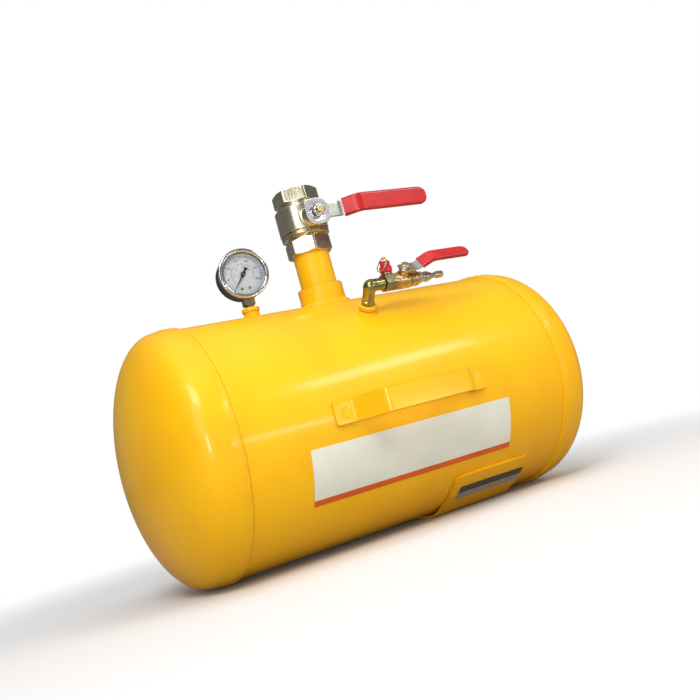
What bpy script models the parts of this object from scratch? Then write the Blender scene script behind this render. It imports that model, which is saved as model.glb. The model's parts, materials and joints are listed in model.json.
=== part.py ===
"""Portable air tank with a quick-discharge ball valve, a pressure gauge, and a fill line.

The tank lies along X and stands on the flat underside of its foot and on its end heads.
+Z is up, and -Y is the side with the carry handle. The origin is the centre of the base.
All sizes are in metres.
"""

import math

import bmesh
import bpy
from mathutils import Matrix, Vector

# ---------------------------------------------------------------- driving dimensions
GAP = 0.0003             # clearance between two pieces that touch

# tank
SHELL_RADIUS = 0.150
SHELL_WALL = 0.0023
SEAM_X = 0.2255          # from the middle of the tank to each head's rim
HEAD_WALL = 0.0023
HEAD_LIP = 0.0125        # straight lip of a head, which laps over the shell
HEAD_EASE = 0.008        # length in which the lip narrows to the crown
HEAD_CROWN = 0.059       # depth of the elliptical crown
SHELL_STEPS = 48

# outlet on the top of the shell
OUTLET_X = -0.0033
PIPE_RADIUS = 0.02415
PIPE_BORE = 0.02055
COLLAR_RADIUS = 0.030
COLLAR_HEIGHT = 0.026    # above the shell
PIPE_SHOWN = 0.0445      # pipe between the collar and the valve

# small threaded bosses for the gauge and for the fill line
BUNG_RADIUS = 0.0115
BUNG_BORE = 0.0065
THREAD_RADIUS = BUNG_BORE - GAP
THREAD_LENGTH = 0.009
GAUGE_X = -0.1085
GAUGE_BUNG_HEIGHT = 0.0135
FILL_X = -0.0027
FILL_ANGLE = math.radians(40)    # round the shell, from the top towards the handle
FILL_BUNG_HEIGHT = 0.010

# carry handle, bent from flat strip
HANDLE_X = -0.0085
HANDLE_TAB_END = 0.104
HANDLE_TAB_START = 0.080
HANDLE_FLAT = 0.057
HANDLE_STAND = 0.0435    # from the shell to the outer face
HANDLE_WIDTH = 0.027
HANDLE_PLATE = 0.003

# saddle foot, bent from plate
FOOT_X = 0.109
FOOT_LENGTH = 0.120
FOOT_PLATE = 0.003
FOOT_REACH = math.radians(45)    # from the bottom of the shell to each upper edge
FOOT_LEAVES = math.radians(27)   # where the plate leaves the shell towards its flat base

# label and data plate
LABEL_X = (-0.1495, 0.1295)
LABEL_ANGLES = (math.radians(101.7), math.radians(126.9))
LABEL_SHEET = 0.0004
DATA_PLATE_X = (0.0615, 0.1640)
DATA_PLATE_SHEET = 0.0006
DATA_PLATE_DROP = 0.0195         # below the foot's upper edge, along the plate
DATA_PLATE_HEIGHT = 0.026

# main valve; its frame is the centre of its ball, Z along the pipe
VALVE_TOP = 0.0445
VALVE_BOTTOM = 0.045
HEX_FLATS = 0.0545
TOP_HEX_HEIGHT = 0.0190
BOTTOM_HEX_HEIGHT = 0.0215
BARREL_RADIUS = 0.033
NECK_RADIUS = 0.0262
BALL_RADIUS = 0.024
BALL_PORT = 0.016
SEAT_FACE = BALL_RADIUS - 0.0095     # from the ball's centre to the near face of a seat
SEAT_BACK = BALL_RADIUS - 0.0035
BODY_SPLIT = 0.0140              # below the ball's centre, where the two body halves meet
SPIGOT_RADIUS = 0.0298
CAVITY_RADIUS = BALL_RADIUS + 0.0013
PORT_RADIUS = 0.019
MOUTH_RADIUS = 0.0226
MOUTH_DEPTH = 0.0180
PIPE_SOCKET_DEPTH = 0.0165
STEM_RADIUS = 0.0065
BOSS_RADIUS = 0.0130
BOSS_TOP = 0.0385
PACKING_RADIUS = 0.0098
PACKING_FLOOR = 0.0295
TONGUE_WIDTH = 0.0054
TONGUE_DEPTH = 0.006

# main lever, in the frame of its stem: X along the lever, Z outwards along the stem
LEVER_PLATE = 0.003
LEVER_LOW = 0.0470
LEVER_HIGH = 0.0660
LEVER_WIDTH = 0.020
LEVER_HEAD = 0.0175
LEVER_BEND = (0.036, 0.054)
LEVER_END = 0.160
SLEEVE_WALL = 0.0015
SLEEVE_START = 0.0385

# gauge, in the frame of its dial: X right, Y up, Z towards the reader
GAUGE_TURN = math.radians(8)     # the dial is turned a little towards the left head
CASE_RADIUS = 0.0308
CASE_LIFT = 0.0257               # from the shell to the lowest point of the case
GAUGE_RISE = CASE_RADIUS + CASE_LIFT     # from the shell to the pointer's axis
GAUGE_HEIGHT = SHELL_RADIUS + GAUGE_RISE
CASE_WALL = 0.001
CASE_BACK = -0.016
CASE_RIM = 0.0107
BEZEL_WALL = 0.0017              # from the side of the case to the side of the bezel
BEZEL_RADIUS = CASE_RADIUS + BEZEL_WALL
BEZEL_FRONT = 0.0155
BEZEL_OPENING = CASE_RADIUS - 0.0036
DIAL_FACE = 0.0051
DIAL_SHEET = 0.0006
DIAL_SCREW = (0.0050, -0.0178)
POINTER_LENGTH = 0.0212
PINION_RADIUS = 0.0018
SECTOR_RADIUS = 0.0107
SHAFT_RADIUS = 0.0010

# fill line; it runs along X at this distance from the shell
LINE_RISE = 0.0345
LINE_HEIGHT = SHELL_RADIUS + LINE_RISE
ELBOW_RADIUS = 0.0075
ELBOW_BORE = 0.003
TEE_X = (0.0165, 0.0325)
TEE_FLATS = 0.0205
TEE_SOCKET = 0.0055
SAFETY_X = 0.0240
SAFETY_TILT = math.radians(10)   # from upright, towards the handle
FILL_STEM_X = 0.0435
FILL_STEM_TILT = math.radians(52)
FILL_VALVE_SPLIT = 0.0540
FILL_VALVE_END = 0.0670
FILL_BALL_RADIUS = 0.0072
FILL_BALL_PORT = 0.0035
FILL_SEAT_FACE = 0.0047          # from the ball's centre to the near face of a seat
FILL_SEAT_BACK = 0.0066
FILL_BODY_RADIUS = 0.0105
FILL_STEM_RADIUS = 0.0032
FILL_BOSS_TOP = 0.0145
FILL_LEVER_PLATE = 0.002
FILL_LEVER_LOW = 0.0188
FILL_LEVER_HIGH = 0.0310
FILL_LEVER_WIDTH = 0.0145
FILL_LEVER_BEND = (0.016, 0.035)
FILL_LEVER_END = 0.091
FILL_SLEEVE_START = 0.0215
PLUG_X = (0.0777, 0.0828, 0.0955, 0.1063)

# safety valve, in its own frame: Z along its axis, from the fill line's axis
SAFETY_END = 0.0079
SAFETY_BASE = 0.0108
SAFETY_SEAT = 0.0165
SAFETY_CAP_BASE = 0.0128
SAFETY_CAP_STEP = 0.0195
SAFETY_CAP_TOP = 0.0268
SAFETY_EYE = 0.0302
RING_RADIUS = 0.0090
RING_WIRE = 0.0006
RING_HANG = math.radians(60)     # how far the ring hangs below level

# ---------------------------------------------------------------- derived places
HEAD_RADIUS = SHELL_RADIUS + GAP + HEAD_WALL
HANDLE_REACH = SHELL_RADIUS + HANDLE_STAND
AXIS_Z = SHELL_RADIUS + GAP + FOOT_PLATE
AXIS_Y = (HANDLE_REACH - HEAD_RADIUS) / 2
VALVE_HEIGHT = SHELL_RADIUS + COLLAR_HEIGHT + PIPE_SHOWN + VALVE_BOTTOM
FRONT = Vector((0, -1, 0))
RIGHT = Vector((1, 0, 0))
UP = Vector((0, 0, 1))

COLOURS = {
    "yellow_paint": ((0.95, 0.53, 0.01), 0.25, 0.0),
    "nickel": ((0.62, 0.58, 0.48), 0.28, 1.0),
    "bright_steel": ((0.75, 0.75, 0.73), 0.2, 1.0),
    "brass": ((0.62, 0.45, 0.20), 0.35, 1.0),
    "red_vinyl": ((0.72, 0.02, 0.02), 0.4, 0.0),
    "black_case": ((0.02, 0.02, 0.02), 0.45, 0.0),
    "clear": ((0.9, 0.95, 0.95), 0.05, 0.0),
    "white_dial": ((0.9, 0.9, 0.9), 0.5, 0.0),
    "seal_white": ((0.85, 0.85, 0.82), 0.5, 0.0),
    "label_white": ((0.85, 0.85, 0.82), 0.5, 0.0),
    "dark_plate": ((0.15, 0.16, 0.14), 0.4, 0.6),
}


# ---------------------------------------------------------------- scene and frames
def clear_scene():
    for old in list(bpy.data.objects):
        bpy.data.objects.remove(old, do_unlink=True)


def collection(name):
    made = bpy.data.collections.new(name)
    bpy.context.scene.collection.children.link(made)
    return made


def material(name):
    """The named finish, made once."""
    found = bpy.data.materials.get(name)
    if found:
        return found
    colour, roughness, metallic = COLOURS[name]
    made = bpy.data.materials.new(name)
    made.use_nodes = True
    shader = made.node_tree.nodes["Principled BSDF"]
    shader.inputs["Base Color"].default_value = (*colour, 1)
    shader.inputs["Roughness"].default_value = roughness
    shader.inputs["Metallic"].default_value = metallic
    return made


def round_shell(angle):
    """The outward direction at this angle round the shell, from the top towards the handle."""
    return Vector((0, -math.sin(angle), math.cos(angle)))


def on_tank(x, distance, angle=0.0):
    """A point this far from the tank's axis."""
    return Vector((x, AXIS_Y, AXIS_Z)) + round_shell(angle) * distance


def frame(name, origin, x_axis, z_axis):
    """An empty whose X and Z run along the two given directions."""
    z = z_axis.normalized()
    x = x_axis.normalized()
    y = z.cross(x)
    made = bpy.data.objects.new(name, None)
    made.empty_display_size = 0.02
    turn = Matrix((x, y, z)).transposed().to_4x4()
    made.matrix_world = Matrix.Translation(origin) @ turn
    PARTS.objects.link(made)
    return made


def place(name, data, finish, parent, turn=None):
    """A named sub-part, or a tool if it has no finish, in its parent's frame."""
    made = bpy.data.objects.new(name, data)
    made.parent = parent
    if turn is not None:
        made.rotation_euler = turn.to_euler()
    if finish:
        data.materials.append(material(finish))
        PARTS.objects.link(made)
    else:
        made.hide_render = True
        made.display_type = "WIRE"
        CUTTERS.objects.link(made)
    return made


# local turns: which of the parent's axes the piece's own Z follows
ALONG_X = Matrix(((0, 0, 1), (0, 1, 0), (-1, 0, 0)))
ALONG_LEFT = Matrix(((0, 0, -1), (0, 1, 0), (1, 0, 0)))
ALONG_Y = Matrix(((1, 0, 0), (0, 0, 1), (0, -1, 0)))
ALONG_DOWN_Y = Matrix(((1, 0, 0), (0, 0, -1), (0, 1, 0)))
SIDE_VIEW = ALONG_DOWN_Y          # a flat outline in X and Z, thick along Y
END_VIEW = Matrix(((0, 0, 1), (1, 0, 0), (0, 1, 0)))


# ---------------------------------------------------------------- shapes
def arc(centre, radii, start, end, count):
    """Points on an ellipse, from one angle in degrees to another."""
    points = []
    for i in range(count + 1):
        a = math.radians(start + (end - start) * i / count)
        points.append((centre[0] + radii[0] * math.cos(a), centre[1] + radii[1] * math.sin(a)))
    return points


def turned(name, profile, finish, parent, turn=None, steps=24, ring=False):
    """A profile of (radius, height) points turned about Z. A ring's profile closes on itself."""
    mesh = bpy.data.meshes.new(name)
    edges = [(i, i + 1) for i in range(len(profile) - 1)]
    if ring:
        edges.append((len(profile) - 1, 0))
    mesh.from_pydata([(r, 0, z) for r, z in profile], edges, [])
    made = place(name, mesh, finish, parent, turn)
    screw = made.modifiers.new("turn", "SCREW")
    screw.steps = steps
    screw.render_steps = steps
    screw.use_merge_vertices = True
    screw.merge_threshold = 0.00001
    screw.use_smooth_shade = True
    return made


def tube(name, outer, inner, low, high, finish, parent, turn=None, steps=24):
    """A plain ring: outer and inner radius, between two heights."""
    profile = [(outer, high), (outer, low), (inner, low), (inner, high)]
    return turned(name, profile, finish, parent, turn, steps, ring=True)


def rod(name, radius, low, high, finish, parent, turn=None, steps=24):
    profile = [(0, high), (radius, high), (radius, low), (0, low)]
    return turned(name, profile, finish, parent, turn, steps)


def moved(piece, offset):
    """The piece shifted in its parent's frame."""
    piece.location = offset
    return piece


def prism(name, flats, low, high, finish, parent, turn=None, sides=6):
    """A bar of regular section, measured across its flats, between two heights."""
    mesh = bpy.data.meshes.new(name)
    shape = bmesh.new()
    radius = flats / 2 / math.cos(math.pi / sides)
    bmesh.ops.create_cone(shape, cap_ends=True, segments=sides, radius1=radius,
                          radius2=radius, depth=high - low)
    bmesh.ops.translate(shape, verts=shape.verts, vec=(0, 0, (high + low) / 2))
    shape.to_mesh(mesh)
    shape.free()
    return place(name, mesh, finish, parent, turn)


def bevelled_hex(name, flats, low, high, finish, parent, turn=None):
    """A hexagonal bar whose corners are turned off at both ends."""
    bar = prism(name, flats, low, high, finish, parent, turn)
    inside, outside, ease = flats / 2 - 0.0002, flats * 0.6, flats * 0.05
    profile = [(0, high + ease), (inside, high + ease), (outside, high - ease), (outside, low + ease),
               (inside, low - ease), (0, low - ease)]
    trim(bar, turned(name + "_bevel", profile, None, parent, turn, steps=26))
    return bar


def box(name, low, high, finish, parent):
    mesh = bpy.data.meshes.new(name)
    shape = bmesh.new()
    bmesh.ops.create_cube(shape, size=1)
    low, high = Vector(low), Vector(high)
    bmesh.ops.scale(shape, vec=high - low, verts=shape.verts)
    bmesh.ops.translate(shape, verts=shape.verts, vec=(low + high) / 2)
    shape.to_mesh(mesh)
    shape.free()
    return place(name, mesh, finish, parent)


def ball(name, radius, finish, parent, rings=10):
    """A sphere, turned from a half circle."""
    profile = arc((0, 0), (radius, radius), 90, -90, rings)
    profile[0] = (0, radius)
    profile[-1] = (0, -radius)
    return turned(name, profile, finish, parent, steps=2 * rings)


def curve_mesh(name, curve, finish, parent, turn=None):
    """A curve's solid as a mesh whose caps are welded on."""
    guide = bpy.data.objects.new(name + "_guide", curve)
    CUTTERS.objects.link(guide)
    bpy.context.view_layer.update()
    graph = bpy.context.evaluated_depsgraph_get()
    mesh = bpy.data.meshes.new_from_object(guide.evaluated_get(graph))
    bpy.data.objects.remove(guide)
    shape = bmesh.new()
    shape.from_mesh(mesh)
    bmesh.ops.remove_doubles(shape, verts=shape.verts, dist=0.000005)
    bmesh.ops.recalc_face_normals(shape, faces=shape.faces)
    shape.to_mesh(mesh)
    shape.free()
    mesh.name = name
    mesh.materials.clear()
    return place(name, mesh, finish, parent, turn)


def poly_spline(curve, points, cyclic):
    spline = curve.splines.new("POLY")
    spline.points.add(len(points) - 1)
    for spot, point in zip(spline.points, points):
        spot.co = (*point, 1) if len(point) == 3 else (*point, 0, 1)
    spline.use_cyclic_u = cyclic


def plate(name, outline, thickness, finish, parent, turn=None):
    """A flat closed outline in X and Y, thick about its own plane."""
    curve = bpy.data.curves.new(name, "CURVE")
    curve.dimensions = "2D"
    curve.fill_mode = "BOTH"
    curve.extrude = thickness / 2
    poly_spline(curve, outline, True)
    return curve_mesh(name, curve, finish, parent, turn)


def wire(name, points, radius, finish, parent, cyclic=False, resolution=2):
    """A round wire along points."""
    curve = bpy.data.curves.new(name, "CURVE")
    curve.dimensions = "3D"
    curve.bevel_depth = radius
    curve.bevel_resolution = resolution
    curve.use_fill_caps = True
    poly_spline(curve, points, cyclic)
    return curve_mesh(name, curve, finish, parent)


def rounded(path, radius, count=4):
    """A path of (u, v) points whose inner corners are turned into arcs."""
    out = [path[0]]
    for before, corner, after in zip(path, path[1:], path[2:]):
        a, b, c = Vector(before), Vector(corner), Vector(after)
        into, away = (a - b).normalized(), (c - b).normalized()
        half = into.angle(away) / 2
        reach = radius / math.tan(half)
        middle = b + (into + away).normalized() * radius / math.sin(half)
        first = b + into * reach - middle
        last = b + away * reach - middle
        for i in range(count + 1):
            mix = (first * (count - i) + last * i).normalized() * radius
            out.append(tuple(middle + mix))
    out.append(path[-1])
    return out


def strip_outline(path, thickness):
    """The closed outline of a strip of this thickness that follows a path."""
    sides = ([], [])
    for i, point in enumerate(path):
        before = Vector(path[max(i - 1, 0)])
        after = Vector(path[min(i + 1, len(path) - 1)])
        here = Vector(point)
        ways = [(b - a).normalized() for a, b in ((before, here), (here, after)) if (b - a).length]
        run = sum(ways, Vector((0, 0))).normalized()
        across = Vector((-run.y, run.x)) * thickness / 2 / run.dot(ways[0])
        sides[0].append(tuple(here + across))
        sides[1].append(tuple(here - across))
    return sides[0] + sides[1][::-1]


def boolean(piece, tool, operation):
    change = piece.modifiers.new(operation.lower(), "BOOLEAN")
    change.operation = operation
    change.solver = "EXACT"
    change.object = tool


def cut(piece, *tools):
    for tool in tools:
        boolean(piece, tool, "DIFFERENCE")


def join(piece, *tools):
    for tool in tools:
        boolean(piece, tool, "UNION")


def trim(piece, tool):
    boolean(piece, tool, "INTERSECT")


# ---------------------------------------------------------------- tank
def make_shell(tank):
    reach = SEAM_X + HEAD_LIP - 0.001
    shell = tube("shell", SHELL_RADIUS, SHELL_RADIUS - SHELL_WALL, -reach, reach,
                 "yellow_paint", tank, ALONG_X, SHELL_STEPS)
    outlet = rod("shell_outlet_hole", PIPE_RADIUS + GAP, SHELL_RADIUS / 2, SHELL_RADIUS + 0.01,
                 None, tank, steps=32)
    cut(shell, moved(outlet, (OUTLET_X, 0, 0)))
    for name, parent in (("gauge", GAUGE_BUNG), ("fill", FILL_BUNG)):
        hole = rod(name + "_bung_hole", BUNG_BORE, -0.02, 0.01, None, parent)
        cut(shell, hole)


def head_profile():
    """One head, from its apex down the outside to its rim and back up the inside."""
    lip_end = SEAM_X + HEAD_LIP
    crown_start = lip_end + HEAD_EASE
    outer = SHELL_RADIUS + GAP
    inner = outer - HEAD_WALL
    profile = arc((0, crown_start), (outer, HEAD_CROWN), 90, 0, 8)
    profile[0] = (0, crown_start + HEAD_CROWN)
    profile += [(HEAD_RADIUS, lip_end), (HEAD_RADIUS, SEAM_X), (outer, SEAM_X), (outer, lip_end)]
    inside = arc((0, crown_start), (inner, HEAD_CROWN - HEAD_WALL), 0, 90, 6)
    inside[-1] = (0, crown_start + HEAD_CROWN - HEAD_WALL)
    return profile + inside


def make_heads(tank):
    for name, turn in (("head_left", ALONG_LEFT), ("head_right", ALONG_X)):
        turned(name, head_profile(), "yellow_paint", tank, turn, SHELL_STEPS)


def saddle_cutter(name, tank):
    """The shell's own outside with its clearance, for pieces that sit on it."""
    return rod(name, SHELL_RADIUS + GAP, -SEAM_X, SEAM_X, None, tank, ALONG_X, SHELL_STEPS)


def make_outlet(tank):
    top = SHELL_RADIUS + COLLAR_HEIGHT
    collar = tube("outlet_collar", COLLAR_RADIUS, PIPE_RADIUS + GAP, SHELL_RADIUS - 0.012, top,
                  "yellow_paint", tank, steps=32)
    moved(collar, (OUTLET_X, 0, 0))
    cut(collar, saddle_cutter("collar_saddle", tank))
    pipe_end = VALVE_HEIGHT - VALVE_BOTTOM + PIPE_SOCKET_DEPTH - GAP
    pipe = tube("outlet_pipe", PIPE_RADIUS, PIPE_BORE, SHELL_RADIUS - 0.006, pipe_end,
                "yellow_paint", tank, steps=32)
    moved(pipe, (OUTLET_X, 0, 0))


def make_bungs(tank):
    for name, parent, height in (("gauge_bung", GAUGE_BUNG, GAUGE_BUNG_HEIGHT),
                                 ("fill_bung", FILL_BUNG, FILL_BUNG_HEIGHT)):
        profile = [(BUNG_RADIUS - 0.001, height), (BUNG_RADIUS, height - 0.001),
                   (BUNG_RADIUS, height - 0.004), (BUNG_RADIUS - 0.0015, height - 0.0055),
                   (BUNG_RADIUS - 0.0015, -0.003), (BUNG_BORE, -0.003), (BUNG_BORE, height)]
        bung = turned(name, profile, "yellow_paint", parent, ring=True)
        cut(bung, saddle_cutter(name + "_saddle", tank))


def make_handle(tank):
    """A strip whose two ends lie on the shell and whose middle stands off it."""
    low = SHELL_RADIUS + GAP + HANDLE_PLATE / 2
    high = HANDLE_REACH - HANDLE_PLATE / 2
    path = [(HANDLE_X - HANDLE_TAB_END, low), (HANDLE_X - HANDLE_TAB_START, low),
            (HANDLE_X - HANDLE_FLAT, high), (HANDLE_X + HANDLE_FLAT, high),
            (HANDLE_X + HANDLE_TAB_START, low), (HANDLE_X + HANDLE_TAB_END, low)]
    outline = strip_outline(rounded(path, 0.008), HANDLE_PLATE)
    towards_front = Matrix(((1, 0, 0), (0, -1, 0), (0, 0, -1)))
    plate("carry_handle", outline, HANDLE_WIDTH, "yellow_paint", tank, towards_front)


def foot_side(radius):
    """Half of the foot's section at this radius, from its upper edge down to the flat base."""
    points = []
    for i in range(7):
        a = FOOT_REACH + (FOOT_LEAVES - FOOT_REACH) * i / 6
        points.append((-radius * math.sin(a), -radius * math.cos(a)))
    corner = radius / math.cos(FOOT_LEAVES / 2)
    half = FOOT_LEAVES / 2
    points.append((-corner * math.sin(half), -corner * math.cos(half)))
    return points


def make_foot(tank):
    inner = foot_side(SHELL_RADIUS + GAP)
    outer = foot_side(SHELL_RADIUS + GAP + FOOT_PLATE)
    inner += [(-y, z) for y, z in inner[::-1]]
    outer += [(-y, z) for y, z in outer[::-1]]
    foot = plate("saddle_foot", inner + outer[::-1], FOOT_LENGTH, "yellow_paint", tank, END_VIEW)
    moved(foot, (FOOT_X, 0, 0))


def curved_sheet(name, radius, thickness, span, angles, finish, tank):
    """A thin sheet wrapped on a round surface, between two places along X and two angles."""
    count = 10
    turns = [angles[0] + (angles[1] - angles[0]) * i / count for i in range(count + 1)]
    inner = [(-radius * math.sin(a), radius * math.cos(a)) for a in turns]
    grown = radius + thickness
    outer = [(-grown * math.sin(a), grown * math.cos(a)) for a in turns]
    sheet = plate(name, inner + outer[::-1], span[1] - span[0], finish, tank, END_VIEW)
    moved(sheet, ((span[0] + span[1]) / 2, 0, 0))


def make_label(tank):
    curved_sheet("front_label", SHELL_RADIUS + GAP, LABEL_SHEET, LABEL_X, LABEL_ANGLES,
                 "label_white", tank)


def make_data_plate(tank):
    """A thin plate on the round upper part of the foot, bent where the foot is bent."""
    radius = SHELL_RADIUS + 2 * GAP + FOOT_PLATE
    top = math.pi - FOOT_REACH + DATA_PLATE_DROP / radius
    angles = (top, top + DATA_PLATE_HEIGHT / radius)
    side = foot_side(radius)
    grown = foot_side(radius + DATA_PLATE_SHEET)
    inner = slice_by_angle(side, angles)
    outer = slice_by_angle(grown, angles)
    sheet = plate("data_plate", inner + outer[::-1], DATA_PLATE_X[1] - DATA_PLATE_X[0],
                  "dark_plate", tank, END_VIEW)
    moved(sheet, ((DATA_PLATE_X[0] + DATA_PLATE_X[1]) / 2, 0, 0))


def slice_by_angle(points, angles):
    """The stretch of a section between two angles round the shell, its ends cut exactly."""
    def cross(angle):
        ray = Vector((-math.sin(angle), math.cos(angle)))
        for a, b in zip(points, points[1:]):
            a, b = Vector(a), Vector(b)
            step = b - a
            bottom = ray.x * step.y - ray.y * step.x
            share = (ray.y * a.x - ray.x * a.y) / bottom
            if -1e-9 <= share <= 1 + 1e-9:
                return tuple(a + step * share)
        return points[-1]
    inside = [p for p in points if angles[0] < math.atan2(-p[0], p[1]) < angles[1]]
    return [cross(angles[0]), *inside, cross(angles[1])]


# ---------------------------------------------------------------- main valve
def make_valve_body():
    top = VALVE_TOP
    neck = top - TOP_HEX_HEIGHT
    outer = [(NECK_RADIUS, neck + 0.001), (NECK_RADIUS, neck - 0.004), (BARREL_RADIUS, neck - 0.0065),
             (BARREL_RADIUS, -BODY_SPLIT), (SPIGOT_RADIUS, -BODY_SPLIT), (SPIGOT_RADIUS, -SEAT_BACK)]
    inner = [(CAVITY_RADIUS, -SEAT_BACK), (CAVITY_RADIUS, SEAT_BACK + GAP),
             (PORT_RADIUS, SEAT_BACK + GAP), (PORT_RADIUS, neck + 0.001)]
    body = turned("valve_body", outer + inner, "nickel", VALVE, steps=32, ring=True)
    join(body, bevelled_hex("top_hex", HEX_FLATS, neck, top, None, VALVE))
    boss = rod("stem_boss", BOSS_RADIUS, 0.028, BOSS_TOP, None, STEM)
    join(body, boss)
    mouth_floor = top - MOUTH_DEPTH
    mouth = [(0, top + 0.002), (MOUTH_RADIUS, top + 0.002), (MOUTH_RADIUS, mouth_floor),
             (PORT_RADIUS, mouth_floor - 0.001), (PORT_RADIUS, 0), (0, 0)]
    above = BOSS_TOP + 0.002
    gland = [(0, above), (PACKING_RADIUS, above), (PACKING_RADIUS, PACKING_FLOOR),
             (STEM_RADIUS + GAP, PACKING_FLOOR), (STEM_RADIUS + GAP, 0.015), (0, 0.015)]
    cut(body, turned("mouth_bore", mouth, None, VALVE, steps=32),
        rod("boss_inside", CAVITY_RADIUS, -SEAT_BACK + 0.001, SEAT_BACK, None, VALVE, steps=32),
        turned("gland_bore", gland, None, STEM))


def make_valve_cap():
    split = -BODY_SPLIT - GAP
    step = -SEAT_BACK - 2 * GAP
    hex_top = -VALVE_BOTTOM + BOTTOM_HEX_HEIGHT
    socket_floor = -VALVE_BOTTOM + PIPE_SOCKET_DEPTH
    profile = [(BARREL_RADIUS - 0.0008, split), (BARREL_RADIUS - 0.0008, hex_top + 0.0015),
               (NECK_RADIUS, hex_top - 0.001), (PORT_RADIUS, hex_top - 0.001), (PORT_RADIUS, step),
               (SPIGOT_RADIUS + GAP, step), (SPIGOT_RADIUS + GAP, split)]
    cap = turned("valve_end_cap", profile, "nickel", VALVE, steps=32, ring=True)
    join(cap, bevelled_hex("bottom_hex", HEX_FLATS, -VALVE_BOTTOM, hex_top, None, VALVE))
    socket = [(0, step - 0.001), (PORT_RADIUS, step - 0.001), (PORT_RADIUS, socket_floor),
              (PIPE_RADIUS + GAP, socket_floor), (PIPE_RADIUS + GAP, -VALVE_BOTTOM - 0.002),
              (0, -VALVE_BOTTOM - 0.002)]
    cut(cap, turned("pipe_socket", socket, None, VALVE, steps=32))


def seat_profile(ball_radius, face, back, outer):
    """A ring that follows the ball on its inside, with its clearance."""
    near = math.sqrt((ball_radius + GAP) ** 2 - face ** 2)
    far = math.sqrt((ball_radius + GAP) ** 2 - back ** 2)
    middle = (face + back) / 2
    bulge = math.sqrt((ball_radius + GAP) ** 2 - middle ** 2) + 0.0001
    return [(outer, back), (outer, face), (near + 0.0002, face), (bulge, middle), (far + 0.0002, back)]


def make_ball_and_seats(prefix, ball_radius, port, seat, outer, tongue, parent, stem, flow, names):
    """The ball, its slot for the stem's tongue, and the two seats along the flow."""
    face, back = seat
    globe = ball(names[0], ball_radius, "bright_steel", stem)
    cut(globe, rod(prefix + "_port", port, -2 * ball_radius, 2 * ball_radius, None, stem, ALONG_X))
    width, depth, half = tongue
    slot = box(prefix + "_slot", (-half - 0.001, -width / 2 - GAP, ball_radius - depth),
               (half + 0.001, width / 2 + GAP, ball_radius + 0.002), None, stem)
    cut(globe, slot)
    for name, turn in zip(names[1:], flow):
        turned(name, seat_profile(ball_radius, face, back, outer - GAP), "seal_white", parent,
               turn, ring=True)


def make_stem(name, radius, ball_radius, tongue, nut_top, thread, shoulder, finish, stem):
    """A stem with a tongue in the ball's slot and a thinner end through the lever."""
    width, depth, half = tongue
    low = ball_radius + 0.0006
    piece = turned(name, [(0, nut_top), (thread, nut_top), (thread, shoulder), (radius, shoulder),
                          (radius, low), (0, low)], finish, stem)
    join(piece, box(name + "_tongue", (-half, -width / 2, ball_radius - depth + GAP),
                    (half, width / 2, low + 0.001), None, stem))
    return piece


def make_main_stem():
    tongue = (TONGUE_WIDTH, TONGUE_DEPTH, 0.0055)
    make_ball_and_seats("ball", BALL_RADIUS, BALL_PORT, (SEAT_FACE, SEAT_BACK), CAVITY_RADIUS,
                        (TONGUE_WIDTH, TONGUE_DEPTH, BALL_RADIUS), VALVE, STEM,
                        (None, Matrix.Rotation(math.pi, 3, "X")),
                        ("valve_ball", "valve_seat_outer", "valve_seat_inner"))
    nut_low = LEVER_LOW + LEVER_PLATE / 2 + GAP
    make_stem("valve_stem", STEM_RADIUS, BALL_RADIUS, tongue, 0.058, 0.005,
              LEVER_LOW - LEVER_PLATE / 2 - GAP, "brass", STEM)
    tube("stem_packing", PACKING_RADIUS - GAP, STEM_RADIUS + GAP, PACKING_FLOOR + GAP, 0.0372,
         "seal_white", STEM)
    gland = [(0.0118, 0.0448), (0.0118, BOSS_TOP + GAP), (PACKING_RADIUS - GAP, BOSS_TOP + GAP),
             (PACKING_RADIUS - GAP, 0.0375), (STEM_RADIUS + GAP, 0.0375), (STEM_RADIUS + GAP, 0.0448)]
    nut = turned("packing_nut", gland, "bright_steel", STEM, ring=True)
    trim(nut, prism("packing_nut_flats", 0.0215, 0.030, 0.050, None, STEM))
    lever_nut = prism("lever_nut", 0.0145, nut_low, 0.0555, "bright_steel", STEM)
    cut(lever_nut, rod("lever_nut_bore", 0.0053, 0.040, 0.060, None, STEM))


def rounded_bar(name, start, end, width, low, high, parent):
    """A flat bar seen from above, with a round end, tall enough to trim a bent strip."""
    radius = width / 2
    outline = [(start, -radius), *arc((end - radius, 0), (radius, radius), -90, 90, 8), (start, radius)]
    bar = plate(name, outline, high - low, None, parent)
    return moved(bar, (0, 0, (high + low) / 2))


def lever_path(start, bend, end, low, high):
    return rounded([(start, low), (bend[0], low), (bend[1], high), (end, high)], 0.006)


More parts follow.
